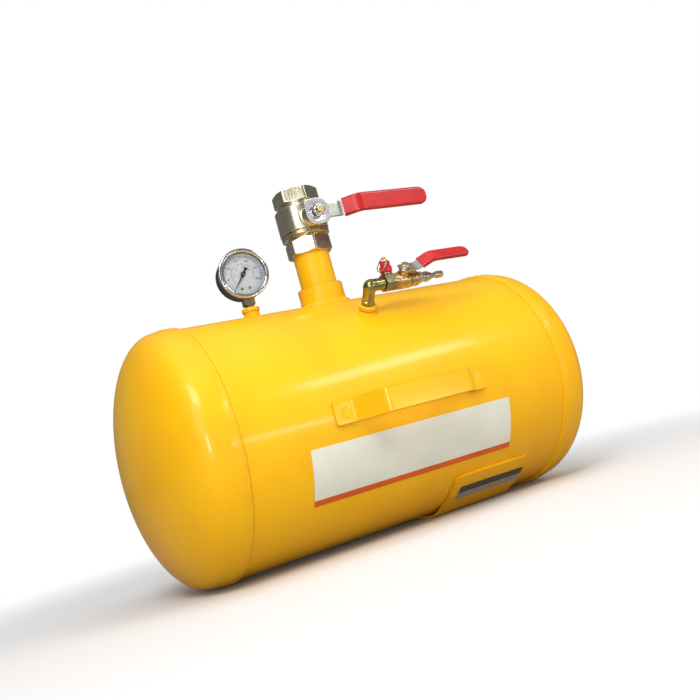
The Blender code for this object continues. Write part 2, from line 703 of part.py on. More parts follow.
def make_lever(prefix, names, sizes, stem):
    """A bent strip with a hole for the stem, and the vinyl sleeve that is dipped over it."""
    start, bend, end, low, high, thick, width, hole, sleeve_start = sizes
    path = lever_path(start, bend, end, low, high)
    lever = plate(names[0], strip_outline(path, thick), width + 0.004, "bright_steel", stem, SIDE_VIEW)
    trim(lever, rounded_bar(prefix + "_plan", start - 0.01, end, width, 0, 2 * high, stem))
    if prefix == "main_lever":
        head = rod(prefix + "_head", LEVER_HEAD, low - thick / 2, low + thick / 2, None, stem)
        join(lever, head)
    cut(lever, rod(prefix + "_hole", hole, low - thick, low + thick, None, stem))
    wall = SLEEVE_WALL
    outer_end = end + GAP + wall
    sleeve_path = lever_path(start, bend, outer_end + 0.01, low, high)
    around = thick + 2 * (GAP + wall)
    across = width + 2 * (GAP + wall)
    sleeve = plate(names[1], strip_outline(sleeve_path, around), across + 0.004, "red_vinyl", stem,
                   SIDE_VIEW)
    trim(sleeve, rounded_bar(prefix + "_sleeve_plan", sleeve_start, outer_end, across, 0, 2 * high, stem))
    core = plate(prefix + "_core", strip_outline(sleeve_path, thick + 2 * GAP), width + 0.004,
                 None, stem, SIDE_VIEW)
    trim(core, rounded_bar(prefix + "_core_plan", start - 0.01, end + GAP, width + 2 * GAP, 0,
                           2 * high, stem))
    cut(sleeve, core)


def make_main_lever():
    sizes = (-LEVER_HEAD + 0.004, LEVER_BEND, LEVER_END, LEVER_LOW, LEVER_HIGH, LEVER_PLATE,
             LEVER_WIDTH, 0.0055, SLEEVE_START)
    make_lever("main_lever", ("main_lever", "main_lever_sleeve"), sizes, STEM)


# ---------------------------------------------------------------- gauge
def make_gauge_case():
    inside = CASE_RADIUS - CASE_WALL
    profile = [(0, CASE_RIM), (CASE_RADIUS, CASE_RIM), (CASE_RADIUS, CASE_BACK + 0.0015),
               (CASE_RADIUS - 0.0015, CASE_BACK), (0, CASE_BACK)]
    case = turned("gauge_case", profile, "black_case", DIAL, steps=32)
    floor = CASE_BACK + CASE_WALL
    cut(case, rod("case_inside", inside, floor, CASE_RIM + 0.002, None, DIAL, steps=32),
        box("case_port", (-0.0069, -CASE_RADIUS - 0.0062, -0.0069), (0.0069, -0.0200, 0.0033),
            None, DIAL))
    lip = [(BEZEL_RADIUS - 0.0012, BEZEL_FRONT), (BEZEL_RADIUS, BEZEL_FRONT - 0.0015),
           (BEZEL_RADIUS, 0.0035), (CASE_RADIUS + GAP, 0.0035), (CASE_RADIUS + GAP, 0.0136),
           (BEZEL_OPENING, 0.0136), (BEZEL_OPENING, 0.0146), (BEZEL_OPENING + 0.0006, BEZEL_FRONT)]
    turned("gauge_bezel", lip, "bright_steel", DIAL, steps=32, ring=True)
    rod("gauge_lens", CASE_RADIUS, CASE_RIM + GAP, 0.0133, "clear", DIAL, steps=32)


def make_dial():
    low = DIAL_FACE - DIAL_SHEET
    dial = rod("gauge_dial", CASE_RADIUS - CASE_WALL - GAP, low, DIAL_FACE, "white_dial", DIAL, steps=32)
    cut(dial, rod("dial_hole", SHAFT_RADIUS + GAP, low - 0.002, DIAL_FACE + 0.002, None, DIAL, steps=16))
    for side, name in ((-1, "dial_screw_left"), (1, "dial_screw_right")):
        spot = (side * DIAL_SCREW[0], DIAL_SCREW[1], 0)
        hole = rod(name + "_hole", 0.0008 + GAP, low - 0.002, DIAL_FACE + 0.002, None, DIAL, steps=16)
        cut(dial, moved(hole, spot))
        head_low = DIAL_FACE + GAP
        profile = [(0, head_low + 0.0009), (0.0012, head_low + 0.0009), (0.0017, head_low + 0.0004),
                   (0.0017, head_low), (0.0008, head_low), (0.0008, 0.0006), (0, 0.0006)]
        moved(turned(name, profile, "brass", DIAL, steps=16), spot)


def make_socket():
    """The brass block in the case, its neck, its square shank and its thread."""
    block = box("gauge_socket", (-0.0075, -0.0262, -0.0090), (0.0075, -0.0155, 0.0042), "brass", DIAL)
    bung_top = GAUGE_RISE - GAUGE_BUNG_HEIGHT
    shank_low = bung_top - 0.0035
    shank_top = CASE_RADIUS + 0.0020
    join(block, box("socket_neck", (-0.0066, -shank_top - 0.0007, -0.0066), (0.0066, -0.0250, 0.0030),
                    None, DIAL),
         box("socket_shank", (-0.0070, -shank_low, -0.0070), (0.0070, -shank_top, 0.0070), None, DIAL),
         rod("socket_thread", THREAD_RADIUS, shank_low - 0.001, bung_top + THREAD_LENGTH, None, DIAL,
             ALONG_DOWN_Y))
    cut(block, rod("socket_bore", 0.0015, 0.0200, bung_top + THREAD_LENGTH + 0.002, None, DIAL,
                   ALONG_DOWN_Y, steps=16))
    for side in (-1, 1):
        hole = rod("block_screw_hole_%d" % side, 0.0008 + GAP, 0.0001, 0.0100, None, DIAL, steps=16)
        cut(block, moved(hole, (side * DIAL_SCREW[0], DIAL_SCREW[1], 0)))


def make_movement():
    """Two plates on two pillars, the pointer's shaft, the toothed sector and the pressure tube."""
    pivot = -(PINION_RADIUS + SECTOR_RADIUS + GAP)
    low_plate = box("gauge_movement", (-0.0100, -0.0152, -0.0085), (0.0100, 0.0050, -0.0075),
                    "brass", DIAL)
    top_plate = box("movement_top", (-0.0100, -0.0152, -0.0006), (0.0100, 0.0050, 0.0004), None, DIAL)
    join(low_plate, top_plate)
    for side in (-1, 1):
        pillar = rod("pillar_%d" % side, 0.0012, -0.0080, 0.0001, None, DIAL, steps=12)
        join(low_plate, moved(pillar, (side * 0.0086, 0.0034, 0)))
    cut(low_plate, rod("shaft_holes", SHAFT_RADIUS + GAP, -0.010, 0.003, None, DIAL, steps=16))
    pivot_holes = rod("pivot_holes", SHAFT_RADIUS + GAP, -0.010, 0.003, None, DIAL, steps=16)
    cut(low_plate, moved(pivot_holes, (0, pivot, 0)))

    shaft = [(0, 0.0095), (SHAFT_RADIUS, 0.0095), (SHAFT_RADIUS, -0.0028), (PINION_RADIUS, -0.0028),
             (PINION_RADIUS, -0.0050), (SHAFT_RADIUS, -0.0050), (SHAFT_RADIUS, -0.0083), (0, -0.0083)]
    turned("pointer_shaft", shaft, "brass", DIAL, steps=16)

    fan = arc((0, 0), (SECTOR_RADIUS, SECTOR_RADIUS), 40, 96, 8)
    fan += arc((0, 0), (0.002, 0.002), 190, 330, 6)
    sector = plate("gauge_sector", fan, 0.0012, "brass", SECTOR)
    moved(sector, (0, 0, -0.0040))
    join(sector, rod("sector_pivot", SHAFT_RADIUS, -0.0083, 0.0002, None, SECTOR, steps=16))

    turn = [(0.0220 * math.cos(a), 0.0220 * math.sin(a), -0.0045)
            for a in (math.radians(-67 + 257 * i / 24) for i in range(25))]
    wire("bourdon_tube", turn, 0.0018, "brass", DIAL)


def make_pointer():
    """A tapered hand with a wedge for its counterweight, at its zero."""
    outline = [(POINTER_LENGTH, 0.0003), (0.0030, 0.0009), *arc((0, 0), (0.0030, 0.0030), 60, 150, 4),
               (-0.0060, 0.0012), (-0.0100, 0.0032), (-0.0100, -0.0032), (-0.0060, -0.0012),
               *arc((0, 0), (0.0030, 0.0030), -150, -60, 4), (0.0030, -0.0009),
               (POINTER_LENGTH, -0.0003)]
    hand = plate("gauge_pointer", outline, 0.0006, "black_case", POINTER)
    moved(hand, (0, 0, 0.0080))
    cut(hand, rod("pointer_hole", SHAFT_RADIUS + GAP, 0.004, 0.012, None, POINTER, steps=16))


# ---------------------------------------------------------------- fill line
def make_elbow():
    """A forged elbow: a riser that screws into its bung, and an arm that screws into the tee."""
    drop = LINE_RISE - FILL_BUNG_HEIGHT
    riser = [(0, 0.002), (ELBOW_RADIUS, 0.002), (ELBOW_RADIUS, -drop + 0.0006),
             (THREAD_RADIUS, -drop + 0.0004), (THREAD_RADIUS, -drop - THREAD_LENGTH),
             (0, -drop - THREAD_LENGTH)]
    elbow = turned("fill_elbow", riser, "brass", LINE)
    moved(elbow, (FILL_X, 0, 0))
    arm_end = TEE_X[0] + TEE_SOCKET - GAP
    arm = [(0, arm_end), (THREAD_RADIUS, arm_end), (THREAD_RADIUS, TEE_X[0] - GAP),
           (ELBOW_RADIUS, TEE_X[0] - GAP), (ELBOW_RADIUS, FILL_X - 0.002), (0, FILL_X - 0.002)]
    corner = ball("elbow_corner", ELBOW_RADIUS + 0.0007, None, LINE)
    join(elbow, moved(corner, (FILL_X, 0, 0)), turned("elbow_arm", arm, None, LINE, ALONG_X))
    down = rod("elbow_bore_down", ELBOW_BORE, -drop - 0.02, ELBOW_BORE * 0.6, None, LINE)
    cut(elbow, moved(down, (FILL_X, 0, 0)),
        rod("elbow_bore_along", ELBOW_BORE * 0.95, FILL_X - ELBOW_BORE * 0.5, 0.05, None, LINE, ALONG_X))


def make_tee():
    low, high = TEE_X
    flat_up = ALONG_X @ Matrix.Rotation(FILL_ANGLE - SAFETY_TILT, 3, "Z")
    tee = bevelled_hex("fill_tee", TEE_FLATS, low, high, "brass", LINE, flat_up)
    join(tee, rod("tee_branch", 0.0071, 0.003, SAFETY_BASE - GAP, None, SAFETY))
    socket = [(0, high + 0.002), (BUNG_BORE, high + 0.002), (BUNG_BORE, high - TEE_SOCKET),
              (0.0032, high - TEE_SOCKET), (0.0032, low + TEE_SOCKET), (BUNG_BORE, low + TEE_SOCKET),
              (BUNG_BORE, low - 0.002), (0, low - 0.002)]
    branch = [(0, 0.015), (0.0053, 0.015), (0.0053, SAFETY_END - GAP), (0.0025, SAFETY_END - GAP),
              (0.0025, 0), (0, 0)]
    cut(tee, turned("tee_bore", socket, None, LINE, ALONG_X),
        turned("branch_bore", branch, None, SAFETY))


def make_fill_valve():
    low = TEE_X[1] + GAP
    inside = FILL_BALL_RADIUS + 0.0006
    left_wall = FILL_STEM_X - FILL_SEAT_BACK - GAP
    spigot = TEE_X[1] - TEE_SOCKET + GAP
    outer = [(FILL_BODY_RADIUS - 0.001, FILL_VALVE_SPLIT), (FILL_BODY_RADIUS, FILL_VALVE_SPLIT - 0.001),
             (FILL_BODY_RADIUS, low + 0.004), (FILL_BODY_RADIUS - 0.0015, low), (THREAD_RADIUS, low),
             (THREAD_RADIUS, spigot)]
    bore = [(FILL_BALL_PORT, spigot), (FILL_BALL_PORT, left_wall), (inside, left_wall),
            (inside, FILL_VALVE_SPLIT)]
    body = turned("fill_valve_body", outer + bore, "brass", LINE, ALONG_X, ring=True)
    join(body, rod("fill_boss", 0.0064, 0.0080, FILL_BOSS_TOP, None, FILL_STEM))
    cut(body, rod("fill_inside", inside, FILL_STEM_X - 0.006, FILL_VALVE_SPLIT - 0.002, None, LINE,
                  ALONG_X),
        rod("fill_stem_bore", FILL_STEM_RADIUS + GAP, 0.004, FILL_BOSS_TOP + 0.002, None, FILL_STEM))

    spigot_end = FILL_STEM_X + FILL_SEAT_BACK + GAP
    end = [(0.0080, FILL_VALVE_END), (0.0095, FILL_VALVE_END - 0.0015), (0.0095, FILL_VALVE_SPLIT + GAP),
           (inside - GAP, FILL_VALVE_SPLIT + GAP), (inside - GAP, spigot_end),
           (FILL_BALL_PORT, spigot_end), (FILL_BALL_PORT, FILL_VALVE_END - 0.0085),
           (0.0050, FILL_VALVE_END - 0.0080), (0.0050, FILL_VALVE_END)]
    turned("fill_valve_end", end, "brass", LINE, ALONG_X, ring=True)


def make_fill_stem():
    tongue = (0.0026, 0.0018, 0.0028)
    slot = (0.0026, 0.0018, FILL_BALL_RADIUS)
    make_ball_and_seats("fill_ball", FILL_BALL_RADIUS, FILL_BALL_PORT,
                        (FILL_SEAT_FACE, FILL_SEAT_BACK), FILL_BALL_RADIUS + 0.0006, slot,
                        FILL_STEM, FILL_STEM, (ALONG_LEFT, ALONG_X),
                        ("fill_valve_ball", "fill_seat_left", "fill_seat_right"))
    under = FILL_LEVER_LOW - FILL_LEVER_PLATE / 2 - GAP
    over = FILL_LEVER_LOW + FILL_LEVER_PLATE / 2 + GAP
    make_stem("fill_valve_stem", FILL_STEM_RADIUS, FILL_BALL_RADIUS, tongue, 0.0262, 0.0024, under,
              "brass", FILL_STEM)
    gland = prism("fill_packing_nut", 0.0115, FILL_BOSS_TOP + GAP, under, "brass", FILL_STEM)
    cut(gland, rod("fill_gland_bore", FILL_STEM_RADIUS + GAP, 0.010, 0.020, None, FILL_STEM))
    nut = prism("fill_lever_nut", 0.0095, over, 0.0248, "bright_steel", FILL_STEM)
    cut(nut, rod("fill_nut_bore", 0.0027, 0.015, 0.030, None, FILL_STEM, steps=16))
    sizes = (-FILL_LEVER_WIDTH / 2, FILL_LEVER_BEND, FILL_LEVER_END, FILL_LEVER_LOW, FILL_LEVER_HIGH,
             FILL_LEVER_PLATE, FILL_LEVER_WIDTH, 0.0028, FILL_SLEEVE_START)
    make_lever("fill_lever", ("fill_lever", "fill_lever_sleeve"), sizes, FILL_STEM)


def make_plug():
    """A quick-connect plug: a threaded end, a hex, a collar and the grooved nose."""
    start = FILL_VALVE_END + GAP
    collar, groove, neck, tip = PLUG_X
    profile = [(0.0038, tip), (0.0045, tip - 0.001), (0.0045, neck + 0.001), (0.0034, neck - 0.0005),
               (0.0034, groove + 0.005), (0.0050, groove + 0.0042), (0.0050, groove + 0.0004),
               (0.0066, groove), (0.0066, collar + 0.0005), (0.0048, collar), (0.0048, collar - 0.002),
               (0.0062, collar - 0.003), (0.0062, start), (0.0047, start), (0.0047, start - 0.007),
               (0.0022, start - 0.007), (0.0022, tip)]
    plug = turned("quick_plug", profile, "bright_steel", LINE, ALONG_X, 24, ring=True)
    hexagon = prism("plug_hex", 0.0135, start, start + 0.006, None, LINE, ALONG_X)
    cut(hexagon, rod("plug_hex_bore", 0.0040, start - 0.01, start + 0.01, None, LINE, ALONG_X, 24))
    join(plug, hexagon)


# ---------------------------------------------------------------- safety valve
def make_safety_valve():
    body = [(0.0058, SAFETY_SEAT), (0.0058, 0.0125), (0.0072, 0.0125), (0.0072, SAFETY_BASE),
            (0.0050, SAFETY_BASE), (0.0050, SAFETY_END), (0.0020, SAFETY_END), (0.0020, SAFETY_SEAT)]
    turned("safety_body", body, "brass", SAFETY, ring=True)
    cap = [(0.0061, SAFETY_CAP_TOP), (0.0061, SAFETY_CAP_STEP + 0.0006), (0.0078, SAFETY_CAP_STEP),
           (0.0078, SAFETY_CAP_BASE), (0.0061, SAFETY_CAP_BASE), (0.0061, SAFETY_SEAT + GAP),
           (0.0046, SAFETY_SEAT + GAP), (0.0046, 0.0245), (0.0017, 0.0245), (0.0017, SAFETY_CAP_TOP)]
    turned("safety_cap", cap, "red_vinyl", SAFETY, ring=True)
    poppet_top = SAFETY_SEAT + 0.0017
    stem = [(0, SAFETY_EYE + 0.0008), (0.0013, SAFETY_EYE + 0.0008), (0.0013, poppet_top),
            (0.0040, poppet_top), (0.0040, SAFETY_SEAT + GAP), (0, SAFETY_SEAT + GAP)]
    pin = turned("safety_stem", stem, "brass", SAFETY, steps=16)
    eye = rod("stem_eye", 0.0023, -0.0013, 0.0013, None, SAFETY, ALONG_Y, 16)
    join(pin, moved(eye, (0, 0, SAFETY_EYE)))
    hole = rod("stem_eye_hole", 0.0011, -0.004, 0.004, None, SAFETY, ALONG_Y, 12)
    cut(pin, moved(hole, (0, 0, SAFETY_EYE)))
    low, high, coils, step = poppet_top + 0.0008, 0.0237, 5, 8
    count = coils * step
    helix = [(0.0030 * math.cos(2 * math.pi * i / step), 0.0030 * math.sin(2 * math.pi * i / step),
              low + (high - low) * i / count) for i in range(count + 1)]
    wire("safety_spring", helix, 0.0004, "bright_steel", SAFETY, resolution=1)
    circle = []
    for i in range(24):
        a = 2 * math.pi * i / 24
        out = RING_RADIUS * (1 - math.cos(a))
        circle.append((-out * math.cos(RING_HANG), RING_RADIUS * math.sin(a), -out * math.sin(RING_HANG)))
    wire("pull_ring", circle, RING_WIRE, "bright_steel", EYE, cyclic=True)


# ---------------------------------------------------------------- assembly
clear_scene()
PARTS = collection("air_receiver_tank")
CUTTERS = collection("cutters")

TANK = frame("tank_axis", on_tank(0, 0), RIGHT, UP)
GAUGE_BUNG = frame("gauge_bung_base", on_tank(GAUGE_X, SHELL_RADIUS), RIGHT, UP)
FILL_BUNG = frame("fill_bung_base", on_tank(FILL_X, SHELL_RADIUS, FILL_ANGLE), RIGHT,
                  round_shell(FILL_ANGLE))
VALVE = frame("valve_centre", on_tank(OUTLET_X, VALVE_HEIGHT), RIGHT, UP)
STEM = frame("main_stem_axis", on_tank(OUTLET_X, VALVE_HEIGHT), RIGHT, FRONT)
DIAL_NORMAL = Vector((-math.sin(GAUGE_TURN), -math.cos(GAUGE_TURN), 0))
DIAL_RIGHT = UP.cross(DIAL_NORMAL)
DIAL = frame("dial_axis", on_tank(GAUGE_X, GAUGE_HEIGHT), DIAL_RIGHT, DIAL_NORMAL)
POINTER_ZERO = math.radians(-128)
POINTER_WAY = DIAL_RIGHT * math.cos(POINTER_ZERO) + UP * math.sin(POINTER_ZERO)
POINTER = frame("pointer_axis", on_tank(GAUGE_X, GAUGE_HEIGHT), POINTER_WAY, DIAL_NORMAL)
SECTOR_PIVOT = on_tank(GAUGE_X, GAUGE_HEIGHT - PINION_RADIUS - SECTOR_RADIUS - GAP)
SECTOR = frame("sector_axis", SECTOR_PIVOT, DIAL_RIGHT, DIAL_NORMAL)
LINE = frame("fill_line_axis", on_tank(0, LINE_HEIGHT, FILL_ANGLE), RIGHT, round_shell(FILL_ANGLE))
SAFETY_WAY = round_shell(SAFETY_TILT)
SAFETY_START = on_tank(SAFETY_X, LINE_HEIGHT, FILL_ANGLE)
SAFETY = frame("safety_axis", SAFETY_START, RIGHT, SAFETY_WAY)
EYE = frame("ring_axis", SAFETY_START + SAFETY_WAY * SAFETY_EYE, RIGHT, SAFETY_WAY)
FILL_STEM = frame("fill_stem_axis", on_tank(FILL_STEM_X, LINE_HEIGHT, FILL_ANGLE), RIGHT,
                  round_shell(FILL_STEM_TILT))

make_shell(TANK)
make_heads(TANK)
make_outlet(TANK)
make_bungs(TANK)
make_handle(TANK)
make_foot(TANK)
make_label(TANK)
make_data_plate(TANK)
make_valve_body()
make_valve_cap()
make_main_stem()
make_main_lever()
make_gauge_case()
make_dial()
make_socket()
make_movement()
make_pointer()
make_elbow()
make_tee()
make_fill_valve()
make_fill_stem()
make_plug()
make_safety_valve()
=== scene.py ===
# %% [markdown]
# # A portable air tank in a studio
#
# The tank, its valves and its gauge were modelled before as plain solids that carry the
# sizes and the joints. This lesson dresses them, one piece or finish to a cell. First the
# solids are loaded: they are the ruler for everything that follows.

import json
import math

import bmesh
import bpy
import numpy as np
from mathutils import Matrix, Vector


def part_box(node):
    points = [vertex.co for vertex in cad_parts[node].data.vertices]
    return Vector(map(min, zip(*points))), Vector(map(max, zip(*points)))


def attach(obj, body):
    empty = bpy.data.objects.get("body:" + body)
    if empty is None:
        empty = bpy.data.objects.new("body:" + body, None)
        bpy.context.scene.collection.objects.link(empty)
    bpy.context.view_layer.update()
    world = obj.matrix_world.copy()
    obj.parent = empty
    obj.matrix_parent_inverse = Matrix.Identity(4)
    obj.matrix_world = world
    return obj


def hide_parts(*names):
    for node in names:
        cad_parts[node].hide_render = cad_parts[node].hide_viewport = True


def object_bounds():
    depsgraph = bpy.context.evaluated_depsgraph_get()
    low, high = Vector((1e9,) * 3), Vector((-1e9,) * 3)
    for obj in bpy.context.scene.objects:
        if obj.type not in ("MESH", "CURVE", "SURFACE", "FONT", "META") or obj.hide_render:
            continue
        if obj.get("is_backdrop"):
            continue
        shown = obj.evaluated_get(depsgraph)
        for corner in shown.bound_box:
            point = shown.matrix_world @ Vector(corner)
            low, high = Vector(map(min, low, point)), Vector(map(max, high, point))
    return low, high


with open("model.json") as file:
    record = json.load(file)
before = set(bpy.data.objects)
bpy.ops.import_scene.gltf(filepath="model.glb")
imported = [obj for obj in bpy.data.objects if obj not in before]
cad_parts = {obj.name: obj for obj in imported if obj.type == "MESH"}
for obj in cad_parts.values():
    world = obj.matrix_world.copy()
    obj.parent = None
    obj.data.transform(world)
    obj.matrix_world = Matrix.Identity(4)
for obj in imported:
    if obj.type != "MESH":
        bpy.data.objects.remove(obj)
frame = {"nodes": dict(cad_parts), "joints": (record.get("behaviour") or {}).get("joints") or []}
cad_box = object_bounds()

# %% [markdown]
# ## Places
#
# A pipe, a nut and a dial are simplest to describe about their own axis, so each gets a
# place: an origin, taken from the joints and the boxes of the solids, and three
# directions. Profiles are then plain radius and height, in millimetres.

# %% Places to work in
MM = 0.001
RIGHT, FRONT, UP = np.array([(1, 0, 0), (0, -1, 0), (0, 0, 1)])


def unit(vectors):
    """The same directions with length one."""
    return vectors / np.linalg.norm(vectors, axis=-1, keepdims=True)


class Place:
    """An origin in metres with unit directions x, y, z. A local point (u, v, w) in millimetres
    is at origin + MM (u x + v y + w z), with y = z cross x."""

    def __init__(self, origin, x, z):
        self.origin = np.array(origin, float)
        z = unit(np.array(z, float))
        x = unit(x - z * np.dot(x, z))
        self.axes = np.stack([x, np.cross(z, x), z])

    def at(self, points):
        return self.origin + MM * np.asarray(points, float) @ self.axes

    def local(self, points):
        return (np.asarray(points) - self.origin) @ self.axes.T / MM

    def turned(self, angle, height):
        """The same place, turned about its z and moved along it."""
        x, y, z = self.axes
        return Place(self.at([0, 0, height]), math.cos(angle) * x + math.sin(angle) * y, z)

    def matrix(self):
        """What turns and moves a thing at the world's origin to here."""
        turn = np.eye(4)
        turn[:3] = np.column_stack([*self.axes, self.origin])
        return Matrix(turn.tolist())


spot, axis = ({joint["name"]: np.array(joint[key]) for joint in frame["joints"] if key in joint}
              for key in ("pos_m", "axis"))
shell_low, shell_high = np.array(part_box("shell"))
SHELL = (shell_high[2] - shell_low[2]) / 2 / MM
tank = Place((0, *(shell_low + shell_high)[1:] / 2), UP, RIGHT)     # angle 0 is up, 90 degrees is front


def on_axis(x, side=RIGHT, out=UP):
    """A place on the tank's axis."""
    return Place((x, *tank.origin[1:]), side, out)


ball, small_ball = spot["main_valve_turn"], spot["fill_valve_turn"]
outlet, valve, stem = on_axis(ball[0]), Place(ball, RIGHT, UP), Place(ball, RIGHT, axis["main_valve_turn"])
dial = Place(spot["pointer_turn"], np.cross(UP, axis["pointer_turn"]), axis["pointer_turn"])
outward = (small_ball - tank.origin) * (0, 1, 1)
fill_stem = Place(small_ball, RIGHT, -axis["fill_valve_turn"])
line = Place((0, *small_ball[1:]), outward, RIGHT)
eye = Place(spot["ring_swing"], RIGHT, axis["safety_pull"])
EYE_HEIGHT = 30.2
safety = eye.turned(0, -EYE_HEIGHT)
print("shell radius %.1f mm, fill line %.1f mm from its axis" % (SHELL, np.linalg.norm(outward) / MM))

# %% [markdown]
# ## From arrays to meshes
#
# Every piece here is a grid of points: rows along a profile or a path, columns around it.
# One function turns grids into an object. It merges points that coincide, which closes
# seams and poles, turns the faces outwards, and keeps two numbers on each point. The first
# is 1 on an outward edge and -1 in an inward corner: the finishes make it worn edges with a
# painted highlight, and dust with painted shade in the corners. The second, mark, is 1 where
# a metal is polished.

# %% Grids and pieces
class Grid:
    """Points of shape (rows, columns, 3). The last column joins the first, and in a loop the
    last row joins the first too."""

    def __init__(self, points, wear=0.0, loop=False):
        self.points, self.loop = points, loop
        self.wear = np.broadcast_to(wear, points.shape[:2])
        self.mark = np.zeros(points.shape[:2])

    def quads(self, start):
        index = np.arange(self.wear.size).reshape(self.wear.shape) + start
        index = np.hstack([index, index[:, :1]])
        if self.loop:
            index = np.vstack([index, index[:1]])
        corners = [index[:-1, :-1], index[1:, :-1], index[1:, 1:], index[:-1, 1:]]
        return np.stack(corners, -1).reshape(-1, 4)


def add_object(name, data):
    made = bpy.data.objects.new(name, data)
    bpy.context.scene.collection.objects.link(made)
    return made


def add_piece(mesh, finish, body, slot):
    """An object of a finished mesh that moves with a body. The slot is not used."""
    made = add_object(mesh.name, mesh)
    mesh.materials.append(finish)
    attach(made, body)
    return made


def piece(name, grids, finish, *stands_for, body="tank", slot=None):
    """Makes an object of the grids, which stands for the named solids."""
    grids = grids if isinstance(grids, list) else [grids]
    starts = np.cumsum([0] + [grid.wear.size for grid in grids])
    mesh = bpy.data.meshes.new(name)
    points = np.concatenate([grid.points.reshape(-1, 3) for grid in grids])
    faces = np.concatenate([grid.quads(start) for grid, start in zip(grids, starts)])
    mesh.from_pydata(points.tolist(), [], faces.tolist())
    for label in ("wear", "mark"):
        values = np.concatenate([getattr(grid, label).ravel() for grid in grids])
        mesh.attributes.new(label, "FLOAT", "POINT").data.foreach_set("value", values.astype(np.float32))
    shape = bmesh.new()
    shape.from_mesh(mesh)
    bmesh.ops.remove_doubles(shape, verts=shape.verts, dist=0.000001)
    bmesh.ops.dissolve_degenerate(shape, edges=shape.edges, dist=0.0000001)
    bmesh.ops.recalc_face_normals(shape, faces=shape.faces)
    shape.to_mesh(mesh)
    shape.free()
    mesh.shade_smooth()
    mesh.set_sharp_from_angle(angle=math.radians(40))
    made = add_piece(mesh, finish, body, slot or finish.name.split(".")[0])
    if stands_for:
        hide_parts(*stands_for)
    print("%-22s %6d faces" % (name, len(mesh.polygons)))


# %% [markdown]
# ## Turned pieces
#
# Most of the brass and steel here came off a lathe, so it is a profile turned about an
# axis. Each corner becomes a short curve, and the same formula marks it as worn or as
# dirty, by the way that it turns.

# %% Profiles with soft corners
def soften(profile, radius=0.6, steps=4, loop=False):
    """Rounds the corners of a profile that turn by more than 12 degrees. At a corner P with
    neighbours at distance d it puts the curve (1-t)^2 A + 2t(1-t) P + t^2 B, where A and B lie
    r = min(radius, 0.45 d) from P. The edge number is 4t(1-t), with the sign of the turn; the
    finishes make it worn edges with a painted highlight where it is positive, and dust with
    painted shade where it is negative."""
    profile = np.array(profile, float)
    before = np.roll(profile, 1, 0) - profile
    after = np.roll(profile, -1, 0) - profile
    sides = [np.linalg.norm(side, axis=1) + 1e-9 for side in (before, after)]
    bend = math.pi - np.arccos(np.clip((before * after).sum(1) / sides[0] / sides[1], -1, 1))
    reach = [np.where(bend > math.radians(12), np.minimum(radius, 0.45 * side), 0) for side in sides]
    t = np.linspace(0, 1, steps + 1)[:, None]
    curves = (profile[:, None] + (before * (reach[0] / sides[0])[:, None])[:, None] * (1 - t) ** 2
              + (after * (reach[1] / sides[1])[:, None])[:, None] * t ** 2)
    turn = np.sign(before[:, 0] * after[:, 1] - before[:, 1] * after[:, 0]) * (reach[0] > 0)
    wear = turn[:, None] * (4 * t * (1 - t)).T
    if not loop:
        curves[0], curves[-1] = profile[0], profile[-1]
        wear[0], wear[-1] = 0, 0
    curves, wear = curves.reshape(-1, 2), wear.ravel()
    new = np.linalg.norm(curves - np.roll(curves, 1, 0), axis=1) > 1e-5
    new[0] = True
    return curves[new], wear[new]


def refine(points, wear, spacing):
    """Adds points on straight sides so that no step is longer than that side's spacing."""
    side = np.linalg.norm(np.diff(points, axis=0), axis=1)
    number = np.maximum(np.ceil(side / spacing), 1).astype(int)
    first = np.repeat(np.cumsum(number) - number, number)
    share = (np.arange(number.sum()) - first) / np.repeat(number, number)
    at = np.append(np.repeat(np.arange(len(side)), number) + share, len(side))
    corner = np.arange(len(points))
    return np.stack([np.interp(at, corner, points[:, i]) for i in (0, 1)], -1), np.interp(at, corner, wear)


def round_angles(count):
    """Equal steps once round."""
    return np.linspace(0, 2 * math.pi, count, endpoint=False)


def fading(z, low, high, over):
    """1 between low and high, and down to 0 at both over this height."""
    return np.clip((z - low) / over, 0, 1) * np.clip((high - z) / over, 0, 1)


